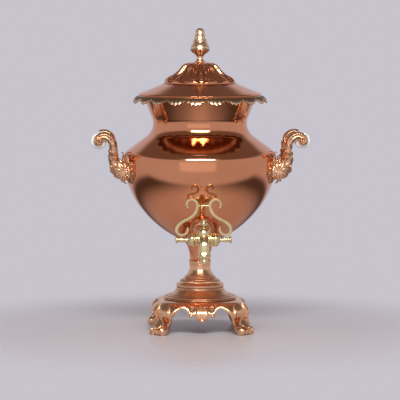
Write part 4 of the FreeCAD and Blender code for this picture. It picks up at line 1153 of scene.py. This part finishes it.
        def relief(angle: Array, line: Array) -> tuple:
            """Spiral grooves on the volutes.

            Args:
                angle: angles round the axis.
                line: rows of radius and height.

            Returns:
                What is added to the radius, and the painted shade at each point.
            """
            on_volute = bump(np.abs(line[:, 1]) - 8.5, 3.5)
            groove = np.cos(3 * angle + line[:, 1] * 1.1) * on_volute * (line[:, 0] > 2)
            # Painted shade in the volutes' grooves.
            return 0.35 * groove, np.clip(-0.6 * groove, 0, 1)

        roll = lathe(outline, 40, relief).placed(self.toe, np.array([1.0, -1.0, 0.0]), Z_AXIS)
        roll.points[..., 2] = np.maximum(roll.points[..., 2], 0.0)
        along = np.linspace(0, 1, 26)
        flat = np.stack([57.5 + 7.4 * along ** 1.5, 57.5 + 7.4 * along ** 1.5, 20.0 - 11.0 * along ** 1.1],
                        axis=1)
        wide = 1.0 + 6.4 * np.sin(np.clip(along * 0.86 + 0.1, 0, 1) * math.pi) ** 0.8
        section = circle(28)
        veins = 0.16 * np.cos(np.arange(28) / 28 * TAU * 5)[None, :] * np.ones((26, 1))
        # Painted shade between the leaf's veins.
        leaf = sweep(flat, np.array([1.0, -1.0, 0.0]) / math.sqrt(2), section, 2.0 * np.ones(26), wide, veins,
                     np.clip(-4 * veins, 0, 1))
        return [skin.quarter_turned(k) for k in range(4) for skin in (roll, leaf)]

    def drops(self) -> list:
        """The bead at each pendant's tip, with a smaller one on each side lobe.

        Returns:
            Their skins for all four sides.
        """
        return [ball(*bead).quarter_turned(k) for k in range(4) for bead in self.beads]

    def pedestal(self, finishes: Finishes) -> None:
        """Makes the pedestal: a turned trumpet of rings and coves, with a row of beads round its middle ring.

        Args:
            finishes: the urn's materials.
        """
        upper, rings, lower = rounded(self.collar, 0.45), rounded(self.rings, 0.6), rounded(self.base, 0.4)
        flare, cove = through(self.flare, 18), through(self.cove, 8)
        outline = np.concatenate([upper[:-1], flare[:-1], rings[:-1], cove[:-1], lower])

        def relief(angle: Array, line: Array) -> tuple:
            """Beads on the middle ring, threads, and painted shade under each ring.

            Args:
                angle: angles round the axis.
                line: rows of radius and height.

            Returns:
                What is added to the radius, and the painted shade at each point.
            """
            ring = bump(line[:, 1] - self.bead_height, 1.25) * (line[:, 0] > 25.8)
            bead = np.abs(np.cos(angle * self.bead_count / 2))
            rings = np.stack([bump(line[:, 1] - height, 0.42) for height in self.threads]).sum(axis=0)
            grooves = np.stack([bump(line[:, 1] - height + 0.85, 0.4) for height in self.threads]).sum(axis=0)
            outside = np.arange(len(line)) < len(line) - self.underside_points
            # Painted shade under the rings, between the beads, in the thread grooves and down the bore.
            under = (bump(line[:, 1] - 60.4, 1.3) + bump(line[:, 1] - 46.2, 0.5)
                     + 0.6 * bump(line[:, 1] - 71.2, 0.5))
            inner = np.arange(len(line)) > len(line) - self.bore_points
            added = ring * (1.0 * bead - 0.5) + (0.5 * rings - 0.25 * grooves) * outside
            dark = ring * (0.8 - 1.2 * bead) + 0.75 * under + 0.6 * grooves * outside + inner
            return added, np.clip(dark, 0, 1)

        assemble("moulded_pedestal", [lathe(outline, 360, relief)], Body.URN, finishes.bronze, ["pedestal"])

    def socket(self, vessel: Vessel, finishes: Finishes) -> None:
        """Makes the stem socket that carries the bowl: a flaring tube with a thin ring at its foot.

        Args:
            vessel: the bowl that it meets.
            finishes: the urn's materials.
        """
        flare = through(self.trumpet, 9)
        tail = flare[-1]
        tail[1] = np.interp(tail[0], vessel.outline[:40, 0], vessel.outline[:40, 1]) - 0.15
        foot = rounded(self.trumpet_foot, 0.5)
        outline = np.concatenate([foot[:-1], flare, [[tail[0] - 3.0, tail[1] - 1.0], [12.0, 108.0],
                                                     [0.0, 106.0]]])
        assemble("stem_trumpet", [lathe(outline, 120)], Body.URN, finishes.copper, ["stem_socket"])


@dataclass
class Handles:
    """The four scroll brackets with their foliate bases and rosettes, and the two porcelain grips."""

    spread: float = 33.0
    grip_x: float = 140.6
    grip_z: float = 265.38
    pad_z: float = 225.88
    grip_radius: float = 11.5
    half_grip: float = 27.9
    stations: tuple = ((-4.0, -3.0, 9.0, 8.6), (6.0, -2.5, 10.8, 8.8), (13.6, 0.2, 9.4, 8.0),
                       (19.0, 8.5, 7.2, 6.6), (20.4, 21.0, 5.7, 5.9), (20.8, 33.0, 5.1, 5.6),
                       (25.0, 43.0, 4.8, 5.4), (32.4, 47.3, 4.2, 5.0), (39.4, 46.4, 3.5, 4.8),
                       (44.2, 42.6, 2.7, 4.6), (44.8, 37.8, 2.2, 4.5), (41.8, 35.0, 1.9, 4.4),
                       (38.4, 36.0, 1.6, 4.2), (37.6, 38.8, 1.2, 4.0))
    leaf_row: float = 9.2
    eye: tuple = ((0, -5.0), (5.4, -5.0), (6.2, -4.0), (5.8, 0.0), (6.2, 4.0), (5.4, 5.0), (0, 5.0))
    fan: tuple = ((100, 11, 3.2), (62, 14, 3.6), (28, 13, 3.4), (-8, 12, 3.4), (-44, 13, 3.4), (-82, 15, 3.6),
                  (140, 9, 3.0), (-124, 10, 3.2))
    curls: tuple = ((((5.0, 7.0), (7.0, 12.0), (6.0, 17.0), (7.6, 19.6), (9.6, 18.8)), 3.0),
                    (((1.0, 7.0), (1.6, 13.0), (0.2, 18.0), (1.6, 20.6), (3.6, 19.4)), 3.6),
                    (((4.0, -8.0), (6.6, -12.6), (5.4, -17.0), (2.0, -19.6)), 4.2))
    pad_half: complex = 14.0 + 19.5j
    pad_leaves: int = 7
    petals: int = 8
    rosette_gap: float = 5.1

    def wall(self, vessel: Vessel) -> float:
        """The bowl's surface behind the brackets' pads, from the urn's axis."""
        return math.sqrt(float(vessel.radius_at(self.pad_z)) ** 2 - self.spread ** 2)

    def bracket(self, vessel: Vessel) -> list:
        """One bracket on the right at the front.

        The stem carries rows of overlapping leaf tips: each row's swell falls as a saw tooth along the path,
        and the tooth's place is pulled to a point by a cosine round the section. Beyond the stem the strap is
        fluted.

        Args:
            vessel: the bowl that the bracket stands on.

        Returns:
            The bracket's skins.
        """
        wall = self.wall(vessel)
        smooth = through(self.stations, 16)
        path = np.stack([wall + smooth[:, 0], np.full(len(smooth), -self.spread), self.pad_z + smooth[:, 1]],
                        axis=1)
        section = circle(56)
        around = np.linspace(0, TAU, 56, endpoint=False)[None, :]
        run = np.concatenate([[0], np.cumsum(np.linalg.norm(np.diff(path, axis=0), axis=1))])[:, None]
        stem = step(run, 3.0, 8.0) * (1 - step(run, 50.0, 58.0))
        turned = math.pi / 2 * np.floor(run / self.leaf_row)
        row = run / self.leaf_row + 0.5 * np.abs(np.cos(around * 2.0 + turned))
        tooth = row - np.floor(row)
        leaf = (tooth ** 2 - 0.3) * 0.36 + 0.03 * np.cos(around * 16.0)
        ribs = np.cos(around * 6.0) * step(run, 54.0, 62.0)
        # Painted shade where each leaf row starts, under the tips of the row before, and between the strap's
        # flutes.
        dark = np.clip(stem * (1 - step(tooth, 0.04, 0.3)) - 0.8 * ribs, 0, 1)
        arm = sweep(path, -Y_AXIS, section, smooth[:, 2], smooth[:, 3], stem * leaf + 0.16 * ribs, dark)
        centre = np.array([self.grip_x, -self.spread, self.grip_z])
        eye = lathe(rounded(self.eye, 0.6), 40).placed(centre, Y_AXIS)
        return [arm, eye, self.foliage(vessel), *self.tendrils(wall), *self.leaves(wall)]

    def leaves(self, wall: float) -> list:
        """The leaves over the bracket's base, fanned on both of its faces with their tips bent down to it.

        Args:
            wall: the bowl's surface behind the pad, from the urn's axis.

        Returns:
            Their skins.
        """
        blades = []
        for degrees, length, width in self.fan:
            along = np.array([math.cos(math.radians(degrees)), 0.0, math.sin(math.radians(degrees))])
            for face in (-1, 1):
                root = np.array([wall + 7.0, -self.spread + face * 7.8, self.pad_z - 1.0]) + along * 1.5
                blades.append(leaf_blade(root, along, Y_AXIS * face, length, width, -3.2))
        return blades

    def foliage(self, vessel: Vessel) -> Skin:
        """The foliate base: a leaf-edged plate that hugs the bowl.

        In polar coordinates about the pad's middle the edge is an ellipse drawn out to leaf points; the
        plate's thickness falls to the edge, with a vein up each leaf, and is added to the bowl's own radius.

        Args:
            vessel: the bowl under it.

        Returns:
            The plate's skin.
        """
        angle = np.linspace(0, TAU, 168, endpoint=False)[:, None]
        share = np.linspace(0, 1, 24)[None, :]
        points = np.abs(np.cos(self.pad_leaves / 2 * (angle - math.pi / 2))) ** 1.6
        edge = 0.66 + 0.36 * points
        across = self.pad_half.real * edge * share * np.cos(angle)
        up = self.pad_half.imag * edge * share * np.sin(angle) - 1.5
        vein = 1.1 * np.cos(self.pad_leaves * angle) * share * (1 - share ** 3)
        thick = 0.4 + 3.4 * (1 - share ** 2.2) + vein + 0.9 * bump(share - 0.86, 0.1)
        z = self.pad_z + up
        y = -self.spread + across
        bowl = np.sqrt(np.maximum(vessel.radius_at(z) ** 2 - y ** 2, 1.0))
        top = np.stack([bowl + thick, y, z], axis=-1)
        under = np.stack([bowl - 0.2, y, z], axis=-1)[:, ::-1]
        # Painted shade between the veins, away from the plate's middle.
        dark = np.clip(0.5 - vein, 0, 1) * step(share, 0.1, 0.5) * np.ones_like(angle)
        return Skin(np.concatenate([top, under], axis=1), np.concatenate([dark, dark[:, ::-1]], axis=1), True,
                    False)

    def tendrils(self, wall: float) -> list:
        """Leaf blades that spring from the base: two curl away above it and one hangs below.

        Args:
            wall: the bowl's surface behind the pad, from the urn's axis.

        Returns:
            Their skins.
        """
        blades = []
        for knots, size in self.curls:
            bend = through(knots, 9)
            path = np.stack([wall + bend[:, 0], np.full(len(bend), -self.spread), self.pad_z + bend[:, 1]],
                            axis=1)
            share = np.linspace(0, 1, len(bend))
            taper = size * (1.04 - share) ** 0.7
            wave = 0.14 * np.cos(np.linspace(0, TAU, 30, endpoint=False) * 5)
            veins = wave[None, :] * np.ones((len(bend), 1))
            # Painted shade between the leaf's veins.
            blades.append(sweep(path, -Y_AXIS, circle(30), 0.5 * taper, 1.25 * taper, veins,
                                np.clip(-4 * veins, 0, 1)))
        return blades

    def rosette(self) -> Skin:
        """A rosette: a low dome with petals round it and a bead in its middle, on a flat back.

        Returns:
            The rosette's skin, facing along its own Z.
        """
        angle = np.linspace(0, TAU, 96, endpoint=False)[:, None]
        share = np.linspace(0, 1, 26)[None, :]
        petal = np.abs(np.cos(self.petals / 2 * angle)) ** 0.5
        radius = share * (4.5 + 0.6 * petal)
        bead, groove = bump(share, 0.26), bump(share - 0.36, 0.1)
        height = 2.6 + bead - 0.7 * groove + 0.8 * (petal - 0.6) * bump(share - 0.68, 0.24)
        height = height * (1 - share ** 7)
        # Painted shade in the groove round the bead and between the petals.
        dark = np.clip(groove + (0.8 - petal) * step(share, 0.35, 0.5), 0, 1)
        top = np.stack([radius * np.cos(angle), radius * np.sin(angle), height * np.ones_like(angle)],
                       axis=-1)
        back = top[:, ::-1] * np.array([1, 1, 0])
        return Skin(np.concatenate([top, back], axis=1), np.concatenate([dark, dark[:, ::-1]], axis=1), True,
                    False)

    def build(self, vessel: Vessel, finishes: Finishes) -> None:
        """Makes the brackets, rosettes and grips on both sides.

        Args:
            vessel: the bowl that the brackets stand on.
            finishes: the urn's materials.
        """
        skins = self.bracket(vessel)
        for side, flip_x in (("right", False), ("left", True)):
            for end, flip_y in (("front", False), ("rear", True)):
                made = skins
                made = [skin.mirrored(0) for skin in made] if flip_x else made
                made = [skin.mirrored(1) for skin in made] if flip_y else made
                assemble(f"{side}_{end}_scroll", made, Body.URN, finishes.bronze, [f"{side}_{end}_bracket"],
                         55.0)
        away = self.spread + self.rosette_gap
        rosettes = [self.rosette().placed(np.array([x, face * away, self.grip_z]), Y_AXIS * face)
                    for x in (-self.grip_x, self.grip_x) for face in (-1, 1)]
        assemble("grip_rosettes", rosettes, Body.URN, finishes.bronze, ["grip_end_nuts"], 60.0)
        crown = through([[10.9, -self.half_grip + 2.4], [11.3, -12.0], [self.grip_radius, 0.0], [11.3, 12.0],
                         [10.9, self.half_grip - 2.4]], 8)
        ends = through([[8.4, self.half_grip], [10.2, self.half_grip - 0.6], [10.9, self.half_grip - 2.4]], 5)
        outline = np.concatenate([[[0.0, -self.half_grip]], ends * np.array([1, -1]), crown[1:-1], ends[::-1],
                                  [[0.0, self.half_grip]]])
        for side, x in (("left", -self.grip_x), ("right", self.grip_x)):
            grip = lathe(outline, 96).placed(np.array([x, 0.0, self.grip_z]), Y_AXIS)
            assemble(f"{side}_porcelain_grip", [grip], Body.URN, finishes.porcelain, [f"{side}_grip"])


@dataclass
class Tap:
    """The brass tap: boss, pipe, barrel, spout, glands, crown and the lyre lever that turns its plug."""

    reach: float = 125.0
    height: float = 137.88
    tilt: float = 10.0
    boss_face: float = 77.0
    boss_step: float = 4.5
    boss_radius: float = 16.0
    boss_step_radius: float = 12.4
    spout_forward: float = 15.5
    spout_drop: float = 22.0
    bend: float = 10.0
    lyre_start: complex = 20.5 + 43.0j
    lyre_heading: float = 36.0
    lyre_arm: tuple = (23.0 + 48.0j, 15.7 + 54.5j, 8.4 + 46.0j, 14.5 + 33.0j, 24.0 + 27.0j, 33.5 + 20.5j,
                       36.5 + 14.0j, 29.5 + 6.5j, 21.5 + 13.6j, 22.6 + 16.8j)
    lyre_neck: complex = 8.4 + 46.0j
    lyre_foot: float = 29.5
    barrel: tuple = ((0, -12.0), (8.0, -12.0), (9.2, -11.2), (9.2, -9.4), (8.5, -8.6), (8.3, 0), (8.5, 8.6),
                     (9.2, 9.4), (9.2, 11.2), (8.0, 12.0), (0, 12.0))
    spout_half: float = 6.7
    spout_bell: float = 1.6
    flange: tuple = ((0, 0), (8.6, 0), (9.5, 0.8), (9.5, 2.2), (8.8, 3.0), (7.6, 3.4), (0, 3.4))
    nozzle: tuple = ((3.6, 0.2), (6.4, 0.2), (6.4, -1.0), (5.2, -1.8), (4.8, -3.4), (5.4, -4.4), (5.4, -5.8),
                     (4.8, -6.6), (4.6, -7.8), (3.6, -8.0), (3.6, 0.2))
    nozzle_drop: float = 0.3
    bell_inside: tuple = (0.0, 6.8)
    bell: tuple = ((9.3, 4.0), (9.5, 6.5), (8.9, 10.5), (7.2, 14.0), (5.0, 16.2))
    crown_neck: tuple = ((5.0, 16.2), (5.7, 16.5), (5.7, 17.1), (4.4, 17.3), (3.5, 17.6))
    tulip: tuple = ((3.5, 17.6), (4.4, 18.8), (5.6, 21.0), (5.3, 23.2), (3.6, 24.8), (3.9, 26.0), (2.8, 27.6),
                    (1.4, 28.7), (0.0, 29.0))
    gland: tuple = ((7.9, 12.1), (9.0, 14.0), (9.2, 16.4), (8.2, 19.0), (6.0, 20.8))
    gland_end: tuple = ((6.0, 20.8), (5.2, 21.1), (4.6, 21.6), (0.0, 21.6))
    strap: tuple = ((1.0, -0.7), (1.0, 0.7), (0.85, 0.95), (0.5, 1.0), (0.3, 0.78), (-0.3, 0.78), (-0.5, 1.0),
                    (-0.85, 0.95))
    strap_half: complex = 1.95 + 2.45j
    collar: tuple = ((0, -3.4), (2.9, -3.4), (3.15, -2.4), (3.2, 0), (3.15, 2.4), (2.9, 3.4), (0, 3.4))
    spindle: tuple = ((0, 0), (5.9, 0), (5.9, 11.6), (2.8, 11.7), (2.8, 36.2), (0, 36.2))
    button: tuple = ((0, 33.8), (2.9, 33.8), (3.3, 34.3), (4.5, 35.0), (4.8, 36.4), (4.3, 37.6), (3.0, 38.3),
                     (0, 38.4))

    def middle(self) -> Array:
        """The plug's middle."""
        return np.array([0.0, -self.reach, self.height])

    def pipe_axis(self) -> Array:
        """Direction of the pipe, from the plug towards the bowl."""
        angle = math.radians(self.tilt)
        return np.array([0.0, math.cos(angle), math.sin(angle)])

    def boss_distance(self) -> float:
        """Length of the pipe's axis from the plug to the boss's face."""
        return (self.reach - self.boss_face) / math.cos(math.radians(self.tilt))

    def boss(self, vessel: Vessel, finishes: Finishes) -> None:
        """Makes the stepped boss on the bowl; its back edge follows the bowl.

        For each angle round the pipe the back edge is the first place along the pipe that lies inside the
        bowl.

        Args:
            vessel: the bowl that carries it.
            finishes: the urn's materials.
        """
        face = self.boss_distance()
        rim, small = self.boss_radius, self.boss_step_radius
        front = rounded([[7.1, 0.0], [7.1, -0.6], [8.6, -0.9], [small - 0.8, -0.2], [small, 0.8],
                         [small, self.boss_step], [small + 0.9, self.boss_step + 0.3],
                         [rim - 0.7, self.boss_step + 0.5], [rim, self.boss_step + 1.4]], 0.5)
        front[:, 1] += face
        angle = np.linspace(0, TAU, 120, endpoint=False)
        along = np.linspace(face, face + 60.0, 700)
        side = np.array([1.0, 0.0, 0.0])
        third = np.cross(self.pipe_axis(), side)
        ring = rim * (np.cos(angle)[:, None] * side + np.sin(angle)[:, None] * third)
        probe = self.middle() + ring[:, None] + along[None, :, None] * self.pipe_axis()
        inside = np.hypot(probe[..., 0], probe[..., 1]) < vessel.radius_at(probe[..., 2]) - 0.2
        back = along[inside.argmax(axis=1)]
        skin = lathe(np.concatenate([front, front[-1:], [[7.1, front[0, 1]]]]), len(angle), ring=True)
        skin.points[:, -2, 2] = back
        skin.points[:, -1, 2] = back.min()
        # Painted shade in the corner at the boss's step.
        depth = np.zeros(len(front) + 2)
        near_step = np.abs(front[:, 1] - face - self.boss_step) < 0.7
        depth[:len(front)] = 0.6 * near_step
        skin.hollow = depth[None, :]
        placed = skin.placed(self.middle(), self.pipe_axis(), side)
        assemble("stepped_boss", [placed], Body.URN, finishes.copper, ["tap_boss"])

    def body(self, finishes: Finishes) -> None:
        """Makes the pipe, barrel and spout as one casting, and the nozzle under the spout.

        The spout is a squared circle, each point of a circle over the cube root of the sum of its
        coordinates' cubes, carried forward and down round a bend.

        Args:
            finishes: the urn's materials.
        """
        middle = self.middle()
        face = self.boss_distance()
        outline = rounded([[0, 0], [7.0, 0], [7.0, 9.5], [7.9, 10.2], [7.9, 12.0], [7.0, 12.8], [6.6, 24.0],
                           [7.0, face - 4.0], [7.6, face - 3.2], [7.6, face - 1.4], [7.0, face - 0.8],
                           [7.0, face + 20.0], [5.6, face + 20.0], [5.6, face + 44.0], [0, face + 44.0]], 0.5)
        pipe = lathe(outline, 56).placed(middle, self.pipe_axis())
        barrel = lathe(rounded(self.barrel, 0.5), 64).placed(middle, X_AXIS)
        fall = self.spout_drop - 3.0
        drop = np.linspace(self.bend, fall, 16)
        curve = np.linspace(0, math.pi / 2, 16)
        straight = np.linspace(0, self.spout_forward - self.bend, 6)
        forward = np.concatenate([straight[:-1], self.spout_forward - self.bend + self.bend * np.sin(curve),
                                  np.full(15, self.spout_forward)])
        down = np.concatenate([np.zeros(5), self.bend * (1 - np.cos(curve)), drop[1:]])
        path = np.stack([np.zeros(len(forward)), -self.reach - forward, self.height - down], axis=1)
        size = self.spout_half + self.spout_bell * step(down, fall - 5.0, fall + 0.5)
        squared = circle(48) / np.sum(np.abs(circle(48)) ** 3, axis=1, keepdims=True) ** (1 / 3)
        spout = sweep(path, X_AXIS, squared, size, size)
        axis = np.array([0.0, -self.reach - self.spout_forward, self.height - self.spout_drop])
        ring = lathe(rounded(self.flange, 0.5), 56).placed(axis, Z_AXIS)
        assemble("tap_casting", [pipe, barrel, spout, ring], Body.URN, finishes.brass, ["tap_body"], 50.0)
        nozzle = lathe(rounded(self.nozzle, 0.4)[:-1], 48, ring=True)
        nozzle = nozzle.placed(axis - Z_AXIS * self.nozzle_drop, Z_AXIS)
        assemble("nozzle_ring", [nozzle], Body.URN, finishes.brass, ["spout_nozzle"])

    def crown(self, finishes: Finishes) -> None:
        """Makes the bell and tulip crown on the barrel, and the bulbs of the two glands.

        Args:
            finishes: the urn's materials.
        """
        middle = self.middle()
        outline = np.concatenate([[self.bell_inside], through(self.bell, 8),
                                  rounded(self.crown_neck, 0.3)[1:-1],
                                  through(self.tulip, 7)])

        def relief(angle: Array, line: Array) -> tuple:
            """Painted shade in the neck under the tulip, with nothing added to the radius."""
            return 0.0, np.broadcast_to(0.8 * bump(line[:, 1] - 17.5, 0.5), (len(angle), len(line)))

        assemble("tulip_crown", [lathe(outline, 64, relief).placed(middle, Z_AXIS)], Body.URN, finishes.brass,
                 ["tap_finial"])
        bulb = through(self.gland, 7)
        outline = np.concatenate([[[0.0, bulb[0, 1]]], bulb, rounded(self.gland_end, 0.3)[1:]])
        glands = [lathe(outline, 56).placed(middle, X_AXIS * side) for side in (-1, 1)]
        assemble("gland_bulbs", glands, Body.URN, finishes.brass, ["plug_glands"])

    def lever(self, finishes: Finishes) -> None:
        """Makes the lyre lever, the spindle of its plug and the spindle's caps.

        Each arm is a strap with a groove down its faces, carried along a chain of tangent arcs and rolled at
        its ends.

        Args:
            finishes: the urn's materials.
        """
        middle = self.middle()
        heading = complex(math.cos(math.radians(self.lyre_heading)),
                          math.sin(math.radians(self.lyre_heading)))
        flat = arc_chain(self.lyre_start, heading, self.lyre_arm, 14)
        path = np.stack([flat[:, 0], np.zeros(len(flat)), flat[:, 1]], axis=1) + middle
        section = np.concatenate([self.strap, -np.array(self.strap)])
        share = np.linspace(0, 1, len(path))
        arched = np.sin(np.clip(share * 1.04 - 0.02, 0, 1) * math.pi) ** 0.8
        full = 0.62 + 0.5 * arched + 0.25 * bump(share, 0.02)
        round_end = np.sqrt(np.clip(1 - (1 - np.minimum(share, 1 - share) / 0.012).clip(0) ** 2, 0.02, 1))
        wide, deep = self.strap_half.real * full, self.strap_half.imag * (0.5 + 0.45 * full)
        arm = sweep(path, -Y_AXIS, section, wide * round_end, deep * round_end)
        foot = lathe(rounded(self.collar, 0.7), 40).placed(middle + X_AXIS * self.lyre_foot, X_AXIS)
        neck = np.array([self.lyre_neck.real, 0, self.lyre_neck.imag])
        bar = np.linspace(-neck[0], neck[0], 15)
        bar_path = np.stack([bar, np.zeros(15), np.full(15, neck[2])], axis=1) + middle
        thick = 1.15 + 0.3 * bump(np.abs(bar) - neck[0] + 1.8, 1.0)
        tie = sweep(bar_path, -Y_AXIS, circle(20), thick, thick)
        skins = [arm, foot, tie, arm.mirrored(0), foot.mirrored(0)]
        assemble("lyre_arms", skins, Body.LEVER, finishes.brass, ["lyre_lever"], 42.0)
        rods = [lathe(rounded(self.spindle, 0.3), 40).placed(middle, X_AXIS * side) for side in (-1, 1)]
        assemble("plug_spindle", rods, Body.LEVER, finishes.brass, ["tap_plug"])
        caps = [lathe(rounded(self.button, 0.6), 40).placed(middle, X_AXIS * side) for side in (-1, 1)]
        assemble("spindle_buttons", caps, Body.LEVER, finishes.brass, ["spindle_caps"])


@dataclass
class Inside:
    """Solids of the frame that keep their own shape and get a finish."""

    copper: tuple = ("lid_bezel", "heater_tube", "heater_cap")
    brass: tuple = ("heater_knob", "tap_nut", "tap_washer")
    fastener: tuple = ("finial_washer", "finial_nut", "bracket_washers", "bracket_nuts", "left_grip_rod",
                       "right_grip_rod")
    iron: tuple = ("heater_slug", "tie_washer", "tie_nut", "tie_rod")

    def dress(self, nodes: dict, finishes: Finishes) -> None:
        """Gives each solid its finish.

        Args:
            nodes: the frame's solids by name.
            finishes: the urn's materials.
        """
        for names, dress in ((self.copper, finishes.copper), (self.brass, finishes.brass),
                             (self.fastener, finishes.fastener), (self.iron, finishes.iron)):
            for name in names:
                nodes[name].data.materials.clear()
                nodes[name].data.materials.append(dress.material)
                LOG.info("%s: finished in %s", name, dress.material.name)


@dataclass
class Studio:
    """The pale floor, the soft lights and the camera, in metres."""

    distance: float = 4.0
    camera_height: float = 0.52
    azimuth: float = -2.3
    aim: tuple = (0.0, 0.022, 0.1812)
    frame_width: float = 0.556
    sensor: float = 36.0
    far: float = 100.0
    floor_near: float = 0.2
    floor_half: float = 0.5
    floor_roughness: float = 0.4
    floor_mottle: float = 5.0
    floor_colours: tuple = ((0.66, 0.64, 0.68), (0.72, 0.70, 0.74))
    front_drop: float = 0.36
    dim_below: tuple = (0.085, 0.065, 0.06)
    pale: tuple = (0.57, 0.55, 0.61)
    dim_above: tuple = (0.17, 0.13, 0.12)
    lit: tuple = (0.0, 0.02, 0.22)
    lamp_colour: tuple = (1.0, 0.97, 0.93)

    def build(self) -> None:
        """Builds floor, world, lights and camera."""
        self.floor()
        self.world()
        self.light("front_panel", (-0.5, -5.2, 0.1), (5.4, 2.6), 12.0)
        self.light("key", (-0.05, -2.2, 1.9), (1.8, 0.4), 58.0)
        self.camera()
        bpy.context.scene.view_settings.view_transform = "Standard"

    @staticmethod
    def add(name: str, data: bpy.types.ID) -> bpy.types.Object:
        """Puts an object into the scene.

        Args:
            name: the object's name.
            data: its mesh, light or camera.

        Returns:
            The object.
        """
        holder = bpy.data.objects.new(name, data)
        bpy.context.scene.collection.objects.link(holder)
        return holder

    def floor(self) -> None:
        """A plain pale floor, faintly mottled, that fades into the surround with distance from the urn."""
        half = self.floor_half
        mesh = bpy.data.meshes.new("floor")
        mesh.from_pydata([(-half, -half, 0), (half, -half, 0), (half, half, 0), (-half, half, 0)], [],
                         [(0, 1, 2, 3)])
        material = bpy.data.materials.new("pale_floor")
        material.use_nodes = True
        tree = material.node_tree
        shader = tree.nodes["Principled BSDF"]
        shader.inputs["Roughness"].default_value = self.floor_roughness
        place = add_node(tree, "ShaderNodeTexCoord")
        mottle = add_node(tree, "ShaderNodeTexNoise", {"Scale": self.floor_mottle})
        first, second = [(*colour, 1) for colour in self.floor_colours]
        shade = add_node(tree, "ShaderNodeMix", {MIX_FIRST: first, MIX_SECOND: second}, data_type="RGBA")
        away = add_node(tree, "ShaderNodeVectorMath", operation="LENGTH")
        fade = add_node(tree, "ShaderNodeMapRange",
                        {"From Min": self.floor_near, "From Max": half, "To Min": 1.0, "To Max": 0.0},
                        interpolation_type="SMOOTHSTEP")
        for source, target in ((place.outputs["Object"], mottle.inputs["Vector"]),
                               (mottle.outputs["Fac"], shade.inputs["Factor"]),
                               (shade.outputs[MIX_RESULT], shader.inputs["Base Color"]),
                               (place.outputs["Object"], away.inputs[0]),
                               (away.outputs["Value"], fade.inputs["Value"]),
                               (fade.outputs["Result"], shader.inputs["Alpha"])):
            tree.links.new(source, target)
        mesh.materials.append(material)
        self.add("floor", mesh)

    def world(self) -> None:
        """A plain surround for the metal to mirror, pale round the horizon and dim far below and above it.

        Its tone follows the height Z of a direction. In front, where Y is negative, it follows the larger of
        Z and the lesser of zero and Z less the front drop times Y, which moves the dim part there further
        down.
        """
        bands = ((-0.999, self.dim_below), (-0.36, self.dim_below), (-0.24, self.pale), (0.44, self.pale),
                 (0.6, self.dim_above), (0.999, self.dim_above))
        world = bpy.data.worlds.new("studio")
        world.use_nodes = True
        tree = world.node_tree
        facing = add_node(tree, "ShaderNodeTexCoord")
        split = add_node(tree, "ShaderNodeSeparateXYZ")
        share = add_node(tree, "ShaderNodeMapRange", {"From Min": -1.0, "From Max": 1.0})
        ramp = add_node(tree, "ShaderNodeValToRGB")
        ramp.color_ramp.interpolation = "EASE"
        for height, colour in bands:
            ramp.color_ramp.elements.new((height + 1) / 2).color = (*colour, 1)
        ahead = add_node(tree, "ShaderNodeMath", {1: 0.0}, operation="MINIMUM")
        raised = add_node(tree, "ShaderNodeMath", {1: -self.front_drop}, operation="MULTIPLY_ADD")
        capped = add_node(tree, "ShaderNodeMath", {1: 0.0}, operation="MINIMUM")
        higher = add_node(tree, "ShaderNodeMath", operation="MAXIMUM")
        for source, target in ((facing.outputs["Generated"], split.inputs["Vector"]),
                               (split.outputs["Y"], ahead.inputs[0]),
                               (ahead.outputs["Value"], raised.inputs[0]),
                               (split.outputs["Z"], raised.inputs[2]),
                               (raised.outputs["Value"], capped.inputs[0]),
                               (capped.outputs["Value"], higher.inputs[0]),
                               (split.outputs["Z"], higher.inputs[1]),
                               (higher.outputs["Value"], share.inputs["Value"]),
                               (share.outputs["Result"], ramp.inputs["Fac"]),
                               (ramp.outputs["Color"], tree.nodes["Background"].inputs["Color"])):
            tree.links.new(source, target)
        bpy.context.scene.world = world

    def light(self, name: str, place: Sequence[float], size: Sequence[float], power: float) -> None:
        """Adds a soft rectangular light that faces the urn.

        Args:
            name: the light's name.
            place: where it stands.
            size: its width and height.
            power: its power in watts.
        """
        lamp = bpy.data.lights.new(name, "AREA")
        lamp.shape = "RECTANGLE"
        lamp.size, lamp.size_y = size
        lamp.energy = power
        lamp.color = self.lamp_colour
        holder = self.add(name, lamp)
        holder.location = place
        holder.rotation_euler = (Vector(self.lit) - Vector(place)).to_track_quat("-Z", "Y").to_euler()

    def camera(self) -> None:
        """The camera at the photograph's angle; its lens makes the frame as wide as the object needs."""
        turn = math.radians(self.azimuth)
        aim = Vector(self.aim)
        place = aim + Vector((math.sin(turn), -math.cos(turn), 0)) * self.distance
        place.z = self.camera_height
        lens = bpy.data.cameras.new("camera")
        lens.sensor_width = self.sensor
        lens.lens = self.sensor * (aim - place).length / self.frame_width
        lens.clip_end = self.far
        holder = self.add("camera", lens)
        holder.location = place
        holder.rotation_euler = (aim - place).to_track_quat("-Z", "Y").to_euler()
        bpy.context.scene.camera = holder


def main() -> None:
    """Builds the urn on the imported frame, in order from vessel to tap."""
    logging.basicConfig(level=logging.INFO, format="%(message)s")
    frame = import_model()
    finishes = Finishes()
    vessel = Vessel()
    vessel.build(finishes)
    MouthBorder().build(finishes)
    lid = Lid()
    lid.shell(finishes)
    lid.finial(finishes)
    foot = Foot()
    foot.stand(finishes)
    foot.pedestal(finishes)
    foot.socket(vessel, finishes)
    Handles().build(vessel, finishes)
    tap = Tap()
    tap.boss(vessel, finishes)
    tap.body(finishes)
    tap.crown(finishes)
    tap.lever(finishes)
    Inside().dress(frame["nodes"], finishes)
    Studio().build()
    bpy.context.view_layer.update()


if __name__ == "__main__":
    main()
